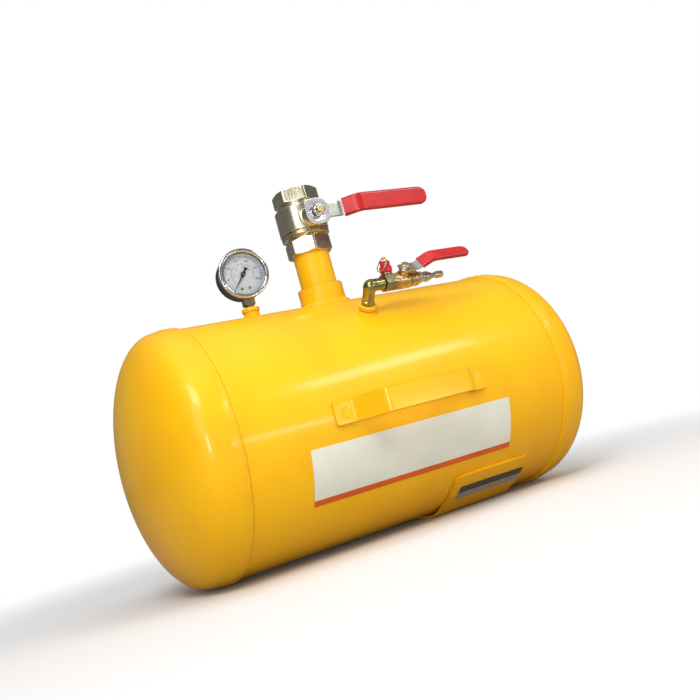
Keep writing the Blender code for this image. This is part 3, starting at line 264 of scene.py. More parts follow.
def lathe(place, profile, count=96, radius=0.6, bars=(), threads=(), flutes=()):
    """Turns a profile of (r, z): the point is (r cos a, r sin a, z). A profile that doesn't start
    on the axis is a loop. In a bar's stretch of z the radius is the lesser of r and the bar's
    side, which is half its flats over cos of the angle from the nearest side's middle. In a
    thread's stretch r loses depth * (0.5 + 0.5 cos(2 pi z / pitch + a)), faded at both ends,
    and flutes take depth * (0.5 - 0.5 cos(number a))^2."""
    loop = profile[0][0] > 0
    points, wear = soften(profile, radius, loop=loop)
    middle = (points[1:, 1] + points[:-1, 1]) / 2
    spacing = np.full(len(middle), 1000.0)
    for low, high, *_ in bars:
        spacing[(middle > low) & (middle < high)] = 0.8
    for low, high, *_ in threads:
        spacing[np.maximum(points[1:, 1], points[:-1, 1]) > low] = 0.2
    points, wear = refine(points, wear, spacing)
    angle = round_angles(count)[None] + (bars[0][4] if bars else 0)
    r = np.repeat(points[:, :1], count, 1)
    z = np.repeat(points[:, 1:], count, 1)
    wear = np.repeat(wear[:, None], count, 1)
    for low, high, flats, sides, roll in bars:
        step = 2 * math.pi / sides
        top = flats / 2 / math.cos(step / 2) * 0.985
        side = np.minimum(flats / 2 / np.cos((angle - roll + step / 2) % step - step / 2), top)
        inside = (z > low - 0.001) & (z < high + 0.001) & (r > flats * 0.44)
        # Sharp corners of a bar count as outward edges, where the finishes paint a highlight.
        sharp = np.clip((side - flats / 2) / (top - flats / 2), 0, 1) ** 14
        wear = np.where(inside, np.maximum(wear, sharp), wear)
        r = np.where(inside, np.minimum(r, side), r)
    for low, high, depth, pitch in threads:
        fade = fading(z, low, high, pitch)
        wave = 0.5 + 0.5 * np.cos(2 * math.pi * z / pitch + angle)
        r = r - depth * fade * wave
        # Crests count as outward edges and roots as inward corners, for a painted highlight and painted
        # shade.
        wear = np.where(fade > 0, 1 - 2 * wave, wear)
    for low, high, depth, number in flutes:
        r = r - depth * fading(z, low, high, 0.8) * (0.5 - 0.5 * np.cos(number * angle)) ** 2
    return Grid(place.at(np.stack([r * np.cos(angle), r * np.sin(angle), z], -1)), wear, loop)


def block(inner, outer, low, high):
    """The profile of a plain ring or disc."""
    return [(inner, low), (outer, low), (outer, high), (inner, high)]


# %% [markdown]
# ## Bent strips and round bars
#
# The handle, the foot and both levers are flat bars bent in a press. A bar is a rounded
# rectangle carried along a path, and a changing width gives the levers' round heads. A wire,
# an elbow or a weld bead is a circle carried along.

# %% Strips and tubes
def along(path, bend=6, spacing=2):
    """A path of (u, w) corners, rounded and then filled with points no further than spacing."""
    points, _ = soften(path, bend, steps=8)
    steps = np.linalg.norm(np.diff(points, axis=0), axis=1)
    far = np.concatenate([[0], np.cumsum(steps)])
    even = np.linspace(0, far[-1], int(far[-1] / spacing) + 2)
    even = np.unique(np.concatenate([far, even]))
    return np.stack([np.interp(even, far, points[:, i]) for i in (0, 1)], -1), even


def end_capped(rows):
    """Closes both ends of a tube of points with a row at each end's middle."""
    first, last = (np.repeat(row.mean(1, keepdims=True), rows.shape[1], 1) for row in (rows[:1], rows[-1:]))
    return np.concatenate([first, rows, last])


def strip(place, path, width, thick, edge=0.6, bend=6, spacing=2, puff=(), dents=()):
    """A bar in the place's x-z plane. Its section is a rectangle with soft corners, width(u, s)
    by thick, carried along the path with its normal. Puff thins each end to a round lip. A
    dent is (s, depth, size): depth * exp(-((s'-s)^2 + v^2) / size^2) off the outer face."""
    middle, far = along(path, bend, spacing)
    run = unit(np.gradient(middle, far, axis=0))
    out = np.stack([-run[:, 1], run[:, 0]], -1)
    wide = width(middle[:, 0], far) if callable(width) else np.full(len(far), width)
    corners = np.array([(1, 1), (-1, 1), (-1, -1), (1, -1)], float) / 2
    section, wear = soften(corners * (wide.max(), thick), edge, steps=5, loop=True)
    fill = np.linspace(-0.42, 0.42, 13)[1:-1]
    top = np.stack([-fill * wide.max(), np.full(len(fill), thick / 2)], -1)
    section = np.concatenate([section[:6], top, section[6:18], -top, section[18:]])
    wear = np.concatenate([wear[:6], 0 * fill, wear[6:18], 0 * fill, wear[18:]])
    v = section[None, :, 0] * (wide / wide.max())[:, None]
    h = np.repeat(section[None, :, 1], len(far), 0)
    for size, run_in in zip(puff, (far, far[-1] - far)):
        h = h * np.sqrt(np.clip(1 - (1 - np.clip(run_in / size, 0, 1)) ** 2, 0.02, 1))[:, None]
    for s, depth, size in dents:
        h = h - depth * np.exp(-((far[:, None] - s) ** 2 + v ** 2) / size ** 2) * (h > 0)
    local = np.stack([middle[:, :1] + out[:, :1] * h, v, middle[:, 1:] + out[:, 1:] * h], -1)
    return Grid(end_capped(place.at(local)), np.pad(np.repeat(wear[None], len(far), 0), ((1, 1), (0, 0))))


def tube(place, path, radius, count, up):
    """A circle carried along a path: the point is path + r (cos a n + sin a b), with
    n = up cross the path's direction, made unit, and b = direction cross n."""
    run = unit(np.gradient(path, axis=0))
    n = unit(np.cross(up, run))
    b = np.cross(run, n)
    angle = round_angles(count)[None, :, None]
    r = np.broadcast_to(radius, len(path))[:, None, None]
    rows = path[:, None] + r * (np.cos(angle) * n[:, None] + np.sin(angle) * b[:, None])
    return Grid(end_capped(place.at(rows)))


def bead(place, path, out, across, height, half_width, pitch, seed):
    """A weld bead along a closed path. Its section is height sin f out + half_width cos f across,
    and ripples every pitch lift it: 1 + 0.07 sin(2 pi s / pitch + 2.2 |cos f|), with a slower
    wave that makes them uneven."""
    far = np.cumsum(np.linalg.norm(path - np.roll(path, 1, 0), axis=1))
    f = round_angles(12)[None]
    s = 2 * math.pi * (far / far[-1])[:, None]
    ripple = np.sin(round(far[-1] / pitch) * s + 2.2 * np.abs(np.cos(f)) + 0.6 * np.sin(7 * s + seed))
    slow = np.sin(5 * s + seed) + np.sin(13 * s + 2 * seed)
    rise = (height * np.sin(f) * (1 + 0.07 * ripple + 0.06 * slow))[..., None] * out[:, None]
    spread = (half_width * np.cos(f) * (1 + 0.06 * slow))[..., None] * across[:, None]
    # The bead counts as an inward corner, most of all between ripples, so the paint on it is darkened as
    # dust and painted shade.
    return Grid(place.at(path[:, None] + rise + spread), -0.25 + 0.2 * ripple, loop=True)


# %% [markdown]
# ## Shader arithmetic
#
# Procedural finishes are sums and products of patterns. A small class wraps a socket, so
# that the usual signs between two of them add the Math node. A Finish holds one material.

# %% A socket that can be added and multiplied
class Value:
    """One output socket with arithmetic."""

    def __init__(self, nodes, socket):
        self.nodes, self.socket = nodes, socket

    def math(self, operation, first, second):
        return self.nodes.add("Math", {"operation": operation}, {0: first, 1: second})

    def __add__(self, other):
        return self.math("ADD", self, other)

    def __sub__(self, other):
        return self.math("SUBTRACT", self, other)

    def __rsub__(self, other):
        return self.math("SUBTRACT", other, self)

    def __mul__(self, other):
        return self.math("MULTIPLY", self, other)

    __radd__, __rmul__ = __add__, __mul__

    def clamp(self, low, high):
        """0 up to low, 1 from high on, and a smooth rise between."""
        return self.nodes.add("MapRange", {"interpolation_type": "SMOOTHSTEP"},
                              {0: self, 1: low, 2: high})


class Nodes:
    """The nodes of a material or of the world."""

    def __init__(self, owner):
        owner.use_nodes = True
        self.tree = owner.node_tree

    def add(self, kind, settings=None, inputs=None, output=0):
        node = self.tree.nodes.new("ShaderNode" + kind)
        for key, value in (settings or {}).items():
            if key == "stops":
                stops = node.color_ramp.elements
                stops.remove(stops[1])
                stops[0].color = value[0][1]
                for place, colour in value[1:]:
                    stops.new(place).color = colour
            else:
                setattr(node, key, value)
        for key, value in (inputs or {}).items():
            if isinstance(value, Value):
                self.tree.links.new(value.socket, node.inputs[key])
            else:
                node.inputs[key].default_value = value
        return Value(self, node.outputs[output])

    def show(self, share, first, second, output="Material Output"):
        """What is seen is between two shaders, by share."""
        mixed = self.add("MixShader", inputs={0: share, 1: first, 2: second})
        self.tree.links.new(mixed.socket, self.tree.nodes[output].inputs["Surface"])


class Finish(Nodes):
    """A material. Its constants are set on the shader, and set() links what varies."""

    def __init__(self, name, **constants):
        self.material = bpy.data.materials.new(name)
        super().__init__(self.material)
        self.shader = self.tree.nodes["Principled BSDF"]
        for key, value in constants.items():
            self.shader.inputs[key.replace("_", " ").title().replace("Ior", "IOR")].default_value = value

    def set(self, **inputs):
        for key, value in inputs.items():
            self.tree.links.new(value.socket, self.shader.inputs[key.replace("_", " ").title()])
        return self.material

    def where(self, stretch=None):
        """Object coordinates in metres, stretched along the axes if asked."""
        spot = self.add("TexCoord", output="Object")
        if stretch:
            spot = self.add("Mapping", inputs={"Vector": spot, "Scale": stretch})
        return spot

    def noise(self, scale, detail, stretch=None, rough=0.5):
        inputs = {"Vector": self.where(stretch), "Scale": scale, "Detail": detail, "Roughness": rough}
        return self.add("TexNoise", inputs=inputs)

    def attribute(self, name):
        return self.add("Attribute", {"attribute_name": name}, output="Fac")

    def mix(self, share, first, second):
        """A colour between two, by share."""
        first, second = ((*c, 1) if isinstance(c, tuple) else c for c in (first, second))
        return self.add("Mix", {"data_type": "RGBA"}, {0: share, 6: first, 7: second}, output=2)

    def bump(self, height, distance, strength):
        values = {"Height": height, "Distance": distance, "Strength": strength}
        return self.add("Bump", inputs=values, output="Normal")


# %% [markdown]
# ## The finishes
#
# The tank is sprayed with glossy enamel, one warm yellow that is deeper where the coat is
# thick, with dust and painted shade in the corners and along the welds, and a lighter yellow
# on worn edges that is also a painted highlight. A clear coat gives the tight highlight, and
# a fine wave the skin of sprayed paint.

# %% Enamel
def enamel(name, light, deep, dust_and_shade):
    """Paint mixed from light to deep by a cloudy noise, darker towards the dust colour where
    noise less the edge number is high, as dust and painted shade in inward corners, and
    lighter on outward edges as worn paint and a painted highlight.
    """
    f = Finish(name, coat_roughness=0.14, specular_ior_level=0.22)
    wear = f.attribute("wear")
    cloud = f.noise(7, 4)
    colour = f.mix(cloud.clamp(0.35, 0.68), light, deep)
    # Dust and painted shade: inward corners and welds darken towards the dust colour.
    corner = (f.noise(90, 4) * 0.5 - wear * 0.55).clamp(0.36, 0.85)
    colour = f.mix(corner * 0.75, colour, dust_and_shade)
    # Worn paint and a painted highlight: outward edges turn a lighter yellow.
    rubbed_and_highlit = (wear + f.noise(260, 3) * 0.8).clamp(1.15, 1.6)
    colour = f.mix(rubbed_and_highlit * 0.5, colour, (1.0, 0.66, 0.10))
    speck = f.noise(620, 1).clamp(0.76, 0.80)
    colour = f.mix(speck * 0.5, colour, dust_and_shade)
    skin = f.noise(230, 2) * 0.7 + f.noise(38, 2) * 1.0 - speck * 0.5
    return f.set(base_color=colour, roughness=0.34 + cloud * 0.16 + corner * 0.3,
                 coat_weight=0.34 - corner * 0.25, normal=f.bump(skin, 0.00022, 0.5))


# The third colour is the dust and the painted shade of the corners.
YELLOW = enamel("tank_yellow_paint", (0.95, 0.515, 0.002), (0.92, 0.455, 0.001), (0.40, 0.17, 0.002))

# %% [markdown]
# ## Bare metals
#
# The valve is nickel on brass, the small fittings are bare brass that has browned in the
# hollows, and the levers and nuts are zinc or chrome on steel. All are one recipe: a
# bright colour on the edges where hands rub, which is also a painted highlight, a dark
# stained colour in the hollows, which is also painted shade, cloudy gloss, fine scratches
# and a low bump.

# %% Metals
def metal(name, bright, dull, stain_and_shade, gloss, cloud=60, bumps=0.00006):
    """Gloss is the least and the most roughness, and cloud is how fine its patches are."""
    f = Finish(name, metallic=1.0)
    wear = f.attribute("wear")
    patch = f.noise(cloud, 5, rough=0.6)
    colour = f.mix(patch.clamp(0.32, 0.68), bright, dull)
    # Stained metal and painted shade: the hollows darken.
    corner = (f.noise(cloud * 3, 4) * 0.6 - wear * 0.5).clamp(0.32, 0.8)
    colour = f.mix(corner * 0.8, colour, stain_and_shade)
    # Worn metal and a painted highlight: the edges turn to the bright colour.
    edge = (wear + f.noise(500, 2) * 0.5).clamp(0.8, 1.25)
    colour = f.mix(edge * 0.6, colour, bright)
    lines = f.noise(900, 2, stretch=(1.0, 1.0, 0.06)) + f.noise(900, 2, stretch=(0.06, 1.0, 1.0))
    low, high = gloss
    polished = f.attribute("mark")
    colour = f.mix(polished * 0.7, colour, (0.86, 0.86, 0.85))
    rough = low + patch.clamp(0.3, 0.75) * (high - low) + corner * 0.22 + (lines - 1.0) * 0.15
    rough = rough * (1.0 - polished * 0.65)
    return f.set(base_color=colour, roughness=rough, normal=f.bump(patch + lines * 0.35, bumps, 0.6))


# The third colour of each is the stained colour of the hollows, which is also painted shade.
NICKEL = metal("valve_nickel", (0.80, 0.75, 0.58), (0.66, 0.59, 0.41), (0.13, 0.10, 0.05), (0.20, 0.30),
               bumps=0.00002)
CHROME = metal("ball_chrome", (0.86, 0.86, 0.85), (0.70, 0.70, 0.70), (0.18, 0.17, 0.15), (0.07, 0.16))
BEZEL = metal("bezel_chrome", (0.84, 0.84, 0.83), (0.66, 0.66, 0.66), (0.12, 0.12, 0.12), (0.12, 0.22))
STEEL = metal("plated_steel", (0.66, 0.65, 0.59), (0.46, 0.45, 0.40), (0.12, 0.10, 0.08), (0.22, 0.42), 45)
BRASS = metal("fitting_brass", (0.80, 0.56, 0.22), (0.50, 0.33, 0.11), (0.12, 0.07, 0.02), (0.22, 0.42), 85)
AGED = metal("aged_brass", (0.44, 0.38, 0.23), (0.26, 0.21, 0.10), (0.10, 0.07, 0.03), (0.26, 0.44), 110)
OLIVE = metal("yellow_zinc", (0.44, 0.40, 0.17), (0.25, 0.22, 0.07), (0.12, 0.08, 0.02), (0.16, 0.34), 70)
TIP = metal("stem_brass", (0.70, 0.58, 0.28), (0.52, 0.40, 0.16), (0.16, 0.10, 0.03), (0.18, 0.34), 90)

# %% [markdown]
# ## Vinyl, plastic, print and glass
#
# The two lever sleeves are vinyl that the hot lever was dipped in, so they are smooth,
# soft and a little uneven. The gauge's window is see-through except for its reflection,
# which grows towards the rim of view.

# %% Soft and painted finishes
def plain(name, colour, second, rough, spread=0.12, scale=40, bumps=0.00008, **constants):
    """Two tones mixed by a cloudy noise, and a quarter of the second one in inward corners as painted
    shade.
    """
    f = Finish(name, **constants)
    wear = f.attribute("wear")
    patch = f.noise(scale, 4)
    # Painted shade: inward corners darken.
    corner = (f.noise(scale * 4, 3) * 0.5 - wear * 0.5).clamp(0.3, 0.9)
    tone = f.mix(patch.clamp(0.3, 0.7), colour, second)
    tone = f.mix(corner * 0.6, tone, tuple(part * 0.25 for part in second))
    return f.set(base_color=tone, roughness=rough + patch * spread + corner * 0.1,
                 normal=f.bump(patch + f.noise(scale * 16, 2) * 0.2, bumps, 0.5))


VINYL = plain("red_vinyl", (0.60, 0.008, 0.010), (0.48, 0.005, 0.007), 0.22, 0.16, 60, 0.00012,
              coat_weight=0.35, coat_roughness=0.12)
CAP = plain("cap_red", (0.66, 0.020, 0.014), (0.48, 0.010, 0.008), 0.30, 0.15, 120)
BLACK = plain("case_black", (0.018, 0.018, 0.019), (0.030, 0.030, 0.030), 0.30, 0.2, 80)
SEAL = plain("seat_white", (0.80, 0.79, 0.75), (0.70, 0.69, 0.64), 0.45)
DIAL = plain("dial_white", (0.90, 0.95, 0.99), (0.87, 0.92, 0.96), 0.40, 0.1, 90, 0.00002)
INK = plain("pointer_black", (0.014, 0.014, 0.016), (0.022, 0.022, 0.022), 0.42)
RED_INK = plain("scale_red", (0.62, 0.03, 0.02), (0.50, 0.02, 0.02), 0.45)


def printed(name, edge, upper, lower, rough, **constants):
    """One pair of colours above this height and another below it."""
    f = Finish(name, **constants)
    height = f.add("SeparateXYZ", inputs={"Vector": f.where()}, output="Z")
    below = (height * -1.0).clamp(-edge - 0.00008, -edge + 0.00008)
    patch = f.noise(20, 4)
    first, second = (f.mix(patch.clamp(0.3, 0.7), *pair) for pair in (upper, lower))
    scuff = (f.noise(160, 3) + f.attribute("wear") * 0.4).clamp(0.72, 0.95)
    colour = f.mix(scuff * 0.3, f.mix(below, first, second), (0.20, 0.18, 0.15))
    return f.set(base_color=colour, roughness=rough + patch * 0.15,
                 normal=f.bump(f.noise(60, 3), 0.00012, 0.5))


def window():
    """Clear, with a reflection that follows the angle of view."""
    f = Finish("lens_clear", roughness=0.04, base_color=(0.9, 0.95, 0.95, 1))
    smear = f.noise(60, 4)
    gloss = f.add("BsdfGlossy", inputs={"Roughness": 0.04 + smear * 0.08})
    share = f.add("Fresnel", inputs={"IOR": 1.45})
    f.show(share, f.add("BsdfTransparent"), gloss)
    return f.material


stripe_top = tank.origin[2] + MM * (SHELL + 0.5) * math.cos(math.radians(124))
LABEL = printed("label_vinyl", stripe_top, ((0.79, 0.81, 0.71), (0.73, 0.75, 0.65)),
                ((0.72, 0.125, 0.016), (0.64, 0.100, 0.012)), 0.34, specular_ior_level=0.3)
plate_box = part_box("data_plate")
band_low = plate_box[0][2] * 0.52 + plate_box[1][2] * 0.48
PLATE = printed("data_plate_metal", band_low, ((0.060, 0.062, 0.050), (0.085, 0.087, 0.072)),
                ((0.50, 0.50, 0.44), (0.36, 0.36, 0.31)), 0.36, metallic=0.35)
LENS = window()
print("finishes:", len(bpy.data.materials))

# %% [markdown]
# ## The tank
#
# The shell is a rolled steel cylinder. Each pressed head laps over it with a short lip
# that is rolled outwards, and a ripple of weld runs round the seam. An ellipse gives the
# crown, as is usual for a pressed head.

# %% Shell, heads and seam welds
SEAM, LIP, APEX = 225.5, 238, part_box("head_right")[1][0] / MM
LIP_RADIUS = SHELL + 2.6
shell = block(SHELL - 2.3, SHELL, -SEAM - 10, SEAM + 10)
piece("tank_shell", lathe(tank, shell, 256), YELLOW, "shell")


def head_section():
    """From the apex over the ellipse (R cos t, start + crown sin t), over the lip and back inside."""
    start, crown = LIP + 8, APEX - LIP - 8
    t = np.linspace(math.pi / 2, 0.06, 56)
    outside = np.stack([(SHELL + 0.3) * np.cos(t), start + crown * np.sin(t)], -1)
    inside = np.stack([(SHELL - 2) * np.cos(t), start + (crown - 2.3) * np.sin(t)], -1)[::-1]
    outside[0, 0] = inside[-1, 0] = 0
    lip = [(SHELL + 0.6, start), (LIP_RADIUS - 0.2, LIP - 1), (LIP_RADIUS, LIP - 5),
           (LIP_RADIUS - 0.2, SEAM + 0.5), (SHELL + 0.3, SEAM), (SHELL + 0.3, LIP), (SHELL - 2, start)]
    return np.concatenate([outside, lip, inside])


def circle(angle):
    """(cos a, sin a, 0), the way outwards at each angle."""
    return np.stack([np.cos(angle), np.sin(angle), 0 * angle], -1)


for side, name in ((-1, "left"), (1, "right")):
    end = Place(tank.origin, UP, (side, 0, 0))
    piece("tank_head_" + name, lathe(end, head_section(), 256, radius=1.5), YELLOW, "head_" + name)
    out, along_tank = circle(round_angles(1500)), np.array([(0, 0, 1)])
    path = (SHELL + 0.2) * out + (SEAM - 0.8) * along_tank
    piece("seam_weld_" + name, bead(end, path, out, along_tank, 2.2, 3, 4.2, side), YELLOW)

# %% [markdown]
# ## Fittings that are welded to the tank
#
# A half coupling and a short pipe lead to the big valve. Two small bosses take the gauge
# and the fill line. Each sits in a ring of weld, which lies on the line where two cylinders
# meet: at angle a round a boss of radius q the tank's surface is sqrt(R^2 - (q sin a)^2) high.

# %% Collar, pipe, bosses and their welds
def saddle_weld(name, place, radius, height, half_width, pitch, seed):
    """A bead round a boss. Place has its origin on the tank's axis and z out along the boss."""
    angle = round_angles(480)
    boss = circle(angle)
    rise = np.sqrt(SHELL ** 2 - (radius * np.sin(angle)) ** 2)
    path = radius * boss + np.outer(rise, (0, 0, 1))
    skin = path * (0, 1, 1) / SHELL
    bent = bead(place, path, unit(boss + skin), unit(boss - skin), height, half_width, pitch, seed)
    piece(name, bent, YELLOW)


pipe_top = outlet.local(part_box("outlet_pipe")[1])[2]
collar = [(24.45, 140), (30.4, 140), (30.4, 154), (30, 160), (30, 175.2), (28.9, 175.9), (24.45, 175.9)]
piece("outlet_coupling", lathe(outlet, collar, 128, radius=1.2), YELLOW, "outlet_collar")
piece("outlet_nipple", lathe(outlet, block(20.55, 24.15, 144, pipe_top), 128), YELLOW, "outlet_pipe")
saddle_weld("coupling_weld", outlet, 30.4, 4.2, 5.2, 5, 1)

BOSS_RADIUS = 11.5
gauge_boss = on_axis(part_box("gauge_bung")[0][0] + BOSS_RADIUS * MM)
fill_boss = on_axis(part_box("fill_bung")[0][0] + BOSS_RADIUS * MM, out=outward)
for name, place, height in (("gauge", gauge_boss, 13.5), ("fill", fill_boss, 10)):
    top = SHELL + height
    rim = [(6.5, top), (10.8, top), (BOSS_RADIUS, top - 1.2), (BOSS_RADIUS, top - 4.2), (10, top - 6.2),
           (10, SHELL - 4), (6.5, SHELL - 4)]
    piece(name + "_boss", lathe(place, rim, radius=1.2), YELLOW, name + "_bung")
    saddle_weld(name + "_boss_weld", place, 10.2, 2.1, 2.7, 3, 2)

# %% [markdown]
# ## Handle and foot
#
# Both are pressed from flat bar. The handle's two tabs are spot welded, which leaves a
# shallow dimple in each. The foot wraps the underside of the shell, and its flat middle
# stands on the floor.

# %% Handle, foot, label and plate
def rounded_ends(width, corner, length):
    """The width near both ends of a bar whose corners have this radius."""
    def at(u, s):
        short = np.clip(corner - np.minimum(s, length - s), 0, corner)
        return width - 2 * corner + 2 * np.sqrt(corner ** 2 - short ** 2)
    return at


def path_length(path, bend):
    """How far the last point lies along the rounded path."""
    return along(path, bend)[1][-1]


handle_place = Place(tank.origin, RIGHT, FRONT)
(start, _, reach), (end, _, _) = handle_place.local(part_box("carry_handle"))
low, high, middle = SHELL + 1.8, reach - 1.5, (start + end) / 2
handle_path = [(start, low), (middle - 80, low), (middle - 57, high), (middle + 57, high),
               (middle + 80, low), (end, low)]
length = path_length(handle_path, 6)
dimples = [(13.5, 1.1, 4.2), (length - 13.5, 1.1, 4.2)]
handle = strip(handle_place, handle_path, rounded_ends(27, 1.5, length), 3, 0.8, 6, 1.2, dents=dimples)
piece("carry_handle_bar", handle, YELLOW, "carry_handle")

PLATE_RADIUS = SHELL + 1.8


def wrapped(node):
    """The place of a piece that wraps round the tank, and its length along it."""
    low, high = (corner[0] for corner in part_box(node))
    return on_axis((low + high) / 2, FRONT), (high - low) / MM


def foot_line(radius, from_bottom=(45, 27)):
    """An arc under the tank. A point's sideways place is the radius times the sine of its
    angle from the bottom, and its depth is the radius times the cosine."""
    angle = np.radians(np.linspace(*from_bottom, 16))
    return np.stack([radius * np.sin(angle), -radius * np.cos(angle)], -1)


foot_place, foot_length = wrapped("saddle_foot")
wrap = foot_line(PLATE_RADIUS)
half = math.radians(27) / 2
corner = PLATE_RADIUS / math.cos(half) * np.array([[math.sin(half), -math.cos(half)]])
foot_path = np.concatenate([wrap, corner, corner * (-1, 1), wrap[::-1] * (-1, 1)])
length = path_length(foot_path, 10)
foot = strip(foot_place, foot_path, rounded_ends(foot_length, 10, length), 3, 1.1, 10, 1.2)
piece("saddle_foot_plate", foot, YELLOW, "saddle_foot")

label_place, label_length = wrapped("front_label")
turn = np.radians(np.linspace(101.7, 126.9, 40))
sheet = (SHELL + 0.5) * np.stack([np.sin(turn), np.cos(turn)], -1)
piece("front_label_sheet", strip(label_place, sheet, label_length, 0.4, 0.1, 0.1), LABEL, "front_label")

plate_place, plate_length = wrapped("data_plate")
band = foot_line(PLATE_RADIUS + 2.1, (37.7, 28))
plate_width = rounded_ends(plate_length, 2, path_length(band, 0.1))
piece("data_plate_sheet", strip(plate_place, band, plate_width, 0.6, 0.2, 0.1), PLATE, "data_plate")

# %% [markdown]
# ## The big ball valve
#
# Two nickel-plated halves screw together round a ball. Each half ends in a hexagon for the
# wrench. A hexagon is a round bar whose radius may not pass the flat sides, so the turned
# bevel at its ends cuts the same curved corners that a real bar has.

# %% Valve halves and stem boss
TOP_ROLL, LOW_ROLL = math.radians(-121), math.radians(-131)
body = [(22.6, 44.5), (26.6, 44.5), (31.6, 42.2), (31.6, 27.9), (27.2, 25.6), (26.2, 25), (26.2, 22.2),
        (32.2, 19.6), (33, 18.4), (33, -13.2), (32.4, -14), (29.8, -14), (29.8, -20.5), (25.3, -20.5),
        (25.3, 20.5), (19, 20.5), (19, 25.5), (22.6, 26.8)]
valve_body = lathe(valve, body, 120, radius=0.8, bars=[(25.5, 44.6, 54.5, 6, TOP_ROLL)])
boss = [(9.8, 38.5), (13, 38.5), (13, 36.2), (13.4, 34), (14.8, 31.8), (17.6, 29.6), (17.6, 27), (9.8, 27)]
mouth = lathe(valve, [(22.8, 27.2), (22.8, 43.6), (21.9, 43.6), (21.9, 27.2)], 120, radius=0.1,
              threads=[(27.2, 43.6, -0.7, 2.2)])
piece("valve_front_half", [valve_body, lathe(stem, boss, 72), mouth], NICKEL, "valve_body")
cap = [(24.4, -45), (26.8, -45), (31.6, -42.9), (31.6, -26.2), (27.6, -24), (26.4, -23.6), (26.4, -22.6),
       (31.6, -20.6), (32.2, -19.6), (32.2, -15), (31.6, -14.3), (30.1, -14.3), (30.1, -21.1), (19, -21.1),
       (19, -28.5), (24.4, -28.5)]
piece("valve_rear_half", lathe(valve, cap, 120, radius=0.8, bars=[(-45.1, -23.8, 54.5, 6, LOW_ROLL)]),
      NICKEL, "valve_end_cap")

# %% [markdown]
# The stem comes out through a packing nut, and a second nut holds the lever on it.

# %% Stem and nuts
shaft = [(0, 58), (5, 58), (5, 45.2), (6.5, 45.2), (6.5, 24.6), (0, 24.6)]
piece("main_stem", lathe(stem, shaft, 64, threads=[(49, 57.2, 0.5, 1.3)]), TIP, "valve_stem",
      body="main_valve_lever")
gland = [(6.8, 44.8), (10.4, 44.8), (12.4, 44), (12.4, 39.6), (10.8, 38.8), (6.8, 38.8)]
piece("gland_nut", lathe(stem, gland, radius=0.3, bars=[(38.7, 44.9, 21.5, 6, math.radians(12))]),
      STEEL, "packing_nut")
nut = [(5.3, 55.5), (6.6, 55.5), (8.4, 54.5), (8.4, 49.5), (7.1, 48.8), (5.3, 48.8)]
piece("lever_lock_nut", lathe(stem, nut, radius=0.3, bars=[(48.7, 55.6, 14.5, 6, math.radians(25))]),
      CHROME, "lever_nut", body="main_valve_lever", slot="plated_steel")

# %% [markdown]
# ## Levers
#
# A lever is flat steel bent twice, so that the hand clears the tank. Its head is a disc,
# pressed a little hollow round the nut. It is a rounded square more than a circle, so its
# half width is (R^n - |u|^n)^(1/n) with n = 3. Where it meets the bar, the greater of the two
# widths is taken. The vinyl sleeve has the same path with a fatter section.

# %% Main lever and its sleeve
HEAD, WIDE = 17.5, 20


def round_tip(width, tip):
    """Constant, with a half circle that ends at u = tip."""
    return lambda u, s: width * np.sqrt(np.clip(1 - np.clip(1 - (tip - u) / (width / 2), 0, 1) ** 2, 0, 1))


def lever_width(u, s):
    """The greater of the disc's width and the bar's, which widens to the head by a parabola."""
    disc = 2 * np.clip(HEAD ** 3 - np.abs(u) ** 3, 0, None) ** (1 / 3)
    waist = np.clip((u - 15) / 6, 0, 1)
    bar = np.where(u > 5, WIDE + 4 * (1 - waist) ** 2, 0)
    return np.maximum(disc, np.minimum(bar, round_tip(24, 160)(u, s)))


lever_path = [(-HEAD, 47), (36, 47), (54, 66), (160, 66)]
lever = strip(stem, lever_path, lever_width, 3, 0.6, 7, 0.7, dents=[(HEAD, 1.2, 15)])
lever.mark = np.clip((18.5 - stem.local(lever.points)[..., 0]) / 2, 0, 1)
piece("main_lever_bar", lever, STEEL, "main_lever", body="main_valve_lever")
tip = stem.local(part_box("main_lever_sleeve")[1])[0]
sleeve_path = [(38.5, 49.6), (54, 66), (tip, 66)]
sleeve = strip(stem, sleeve_path, round_tip(24.8, tip), 6.8, 3.1, 7, 0.7, puff=(0.6, 2.6))
piece("main_lever_grip", sleeve, VINYL, "main_lever_sleeve", body="main_valve_lever")

# %% [markdown]
# ## Gauge
#
# A pressed case with a chrome bezel rolled over it, on a brass socket with a square for the
# wrench. The dial is printed: a black outer scale with numbers and a red inner one.

# %% Case, bezel, window and socket
case = [(0, -16), (29.2, -16), (30.8, -14.3), (30.8, 10.7), (29.8, 10.7), (29.8, -15), (0, -15)]
piece("gauge_shell", lathe(dial, case, 128, radius=0.9), BLACK, "gauge_case")
rim = [(31.1, 15.5), (32.2, 14.7), (32.5, 13.2), (32.5, 9.8), (32.1, 9), (31.1, 9), (31.1, 13.6),
       (27.2, 13.6), (27.4, 14.4), (28.6, 15.5)]
piece("gauge_rim", lathe(dial, rim, 160, radius=0.9), BEZEL, "gauge_bezel")
piece("gauge_window", lathe(dial, block(0, 30.5, 11, 13.2), radius=0.2), LENS, "gauge_lens")
piece("gauge_face", lathe(dial, block(0, 29.5, 4.5, 5.1), radius=0.1), DIAL, "gauge_dial")
socket = [(0, 29.8), (9.4, 29.8), (9.4, 32.2), (10.1, 32.8), (10.1, 38.9), (9.4, 39.5), (6.2, 39.6),
          (6.2, 52), (0, 52)]
socket = lathe(Place(dial.origin, dial.axes[0], -UP), socket, radius=0.3, threads=[(39.7, 46, 0.6, 1.4)],
               bars=[(29.7, 32.5, 13.2, 4, 0), (32.6, 39.6, 14, 4, 0)])
piece("gauge_stem", socket, AGED, "gauge_socket", slot="fitting_brass")

# %% [markdown]
# The print is a little raised, as ink is. Each mark is a small flat bar, and the numbers are
# text turned into mesh. Zero stands at the lower left, and the scale runs through 256 degrees.

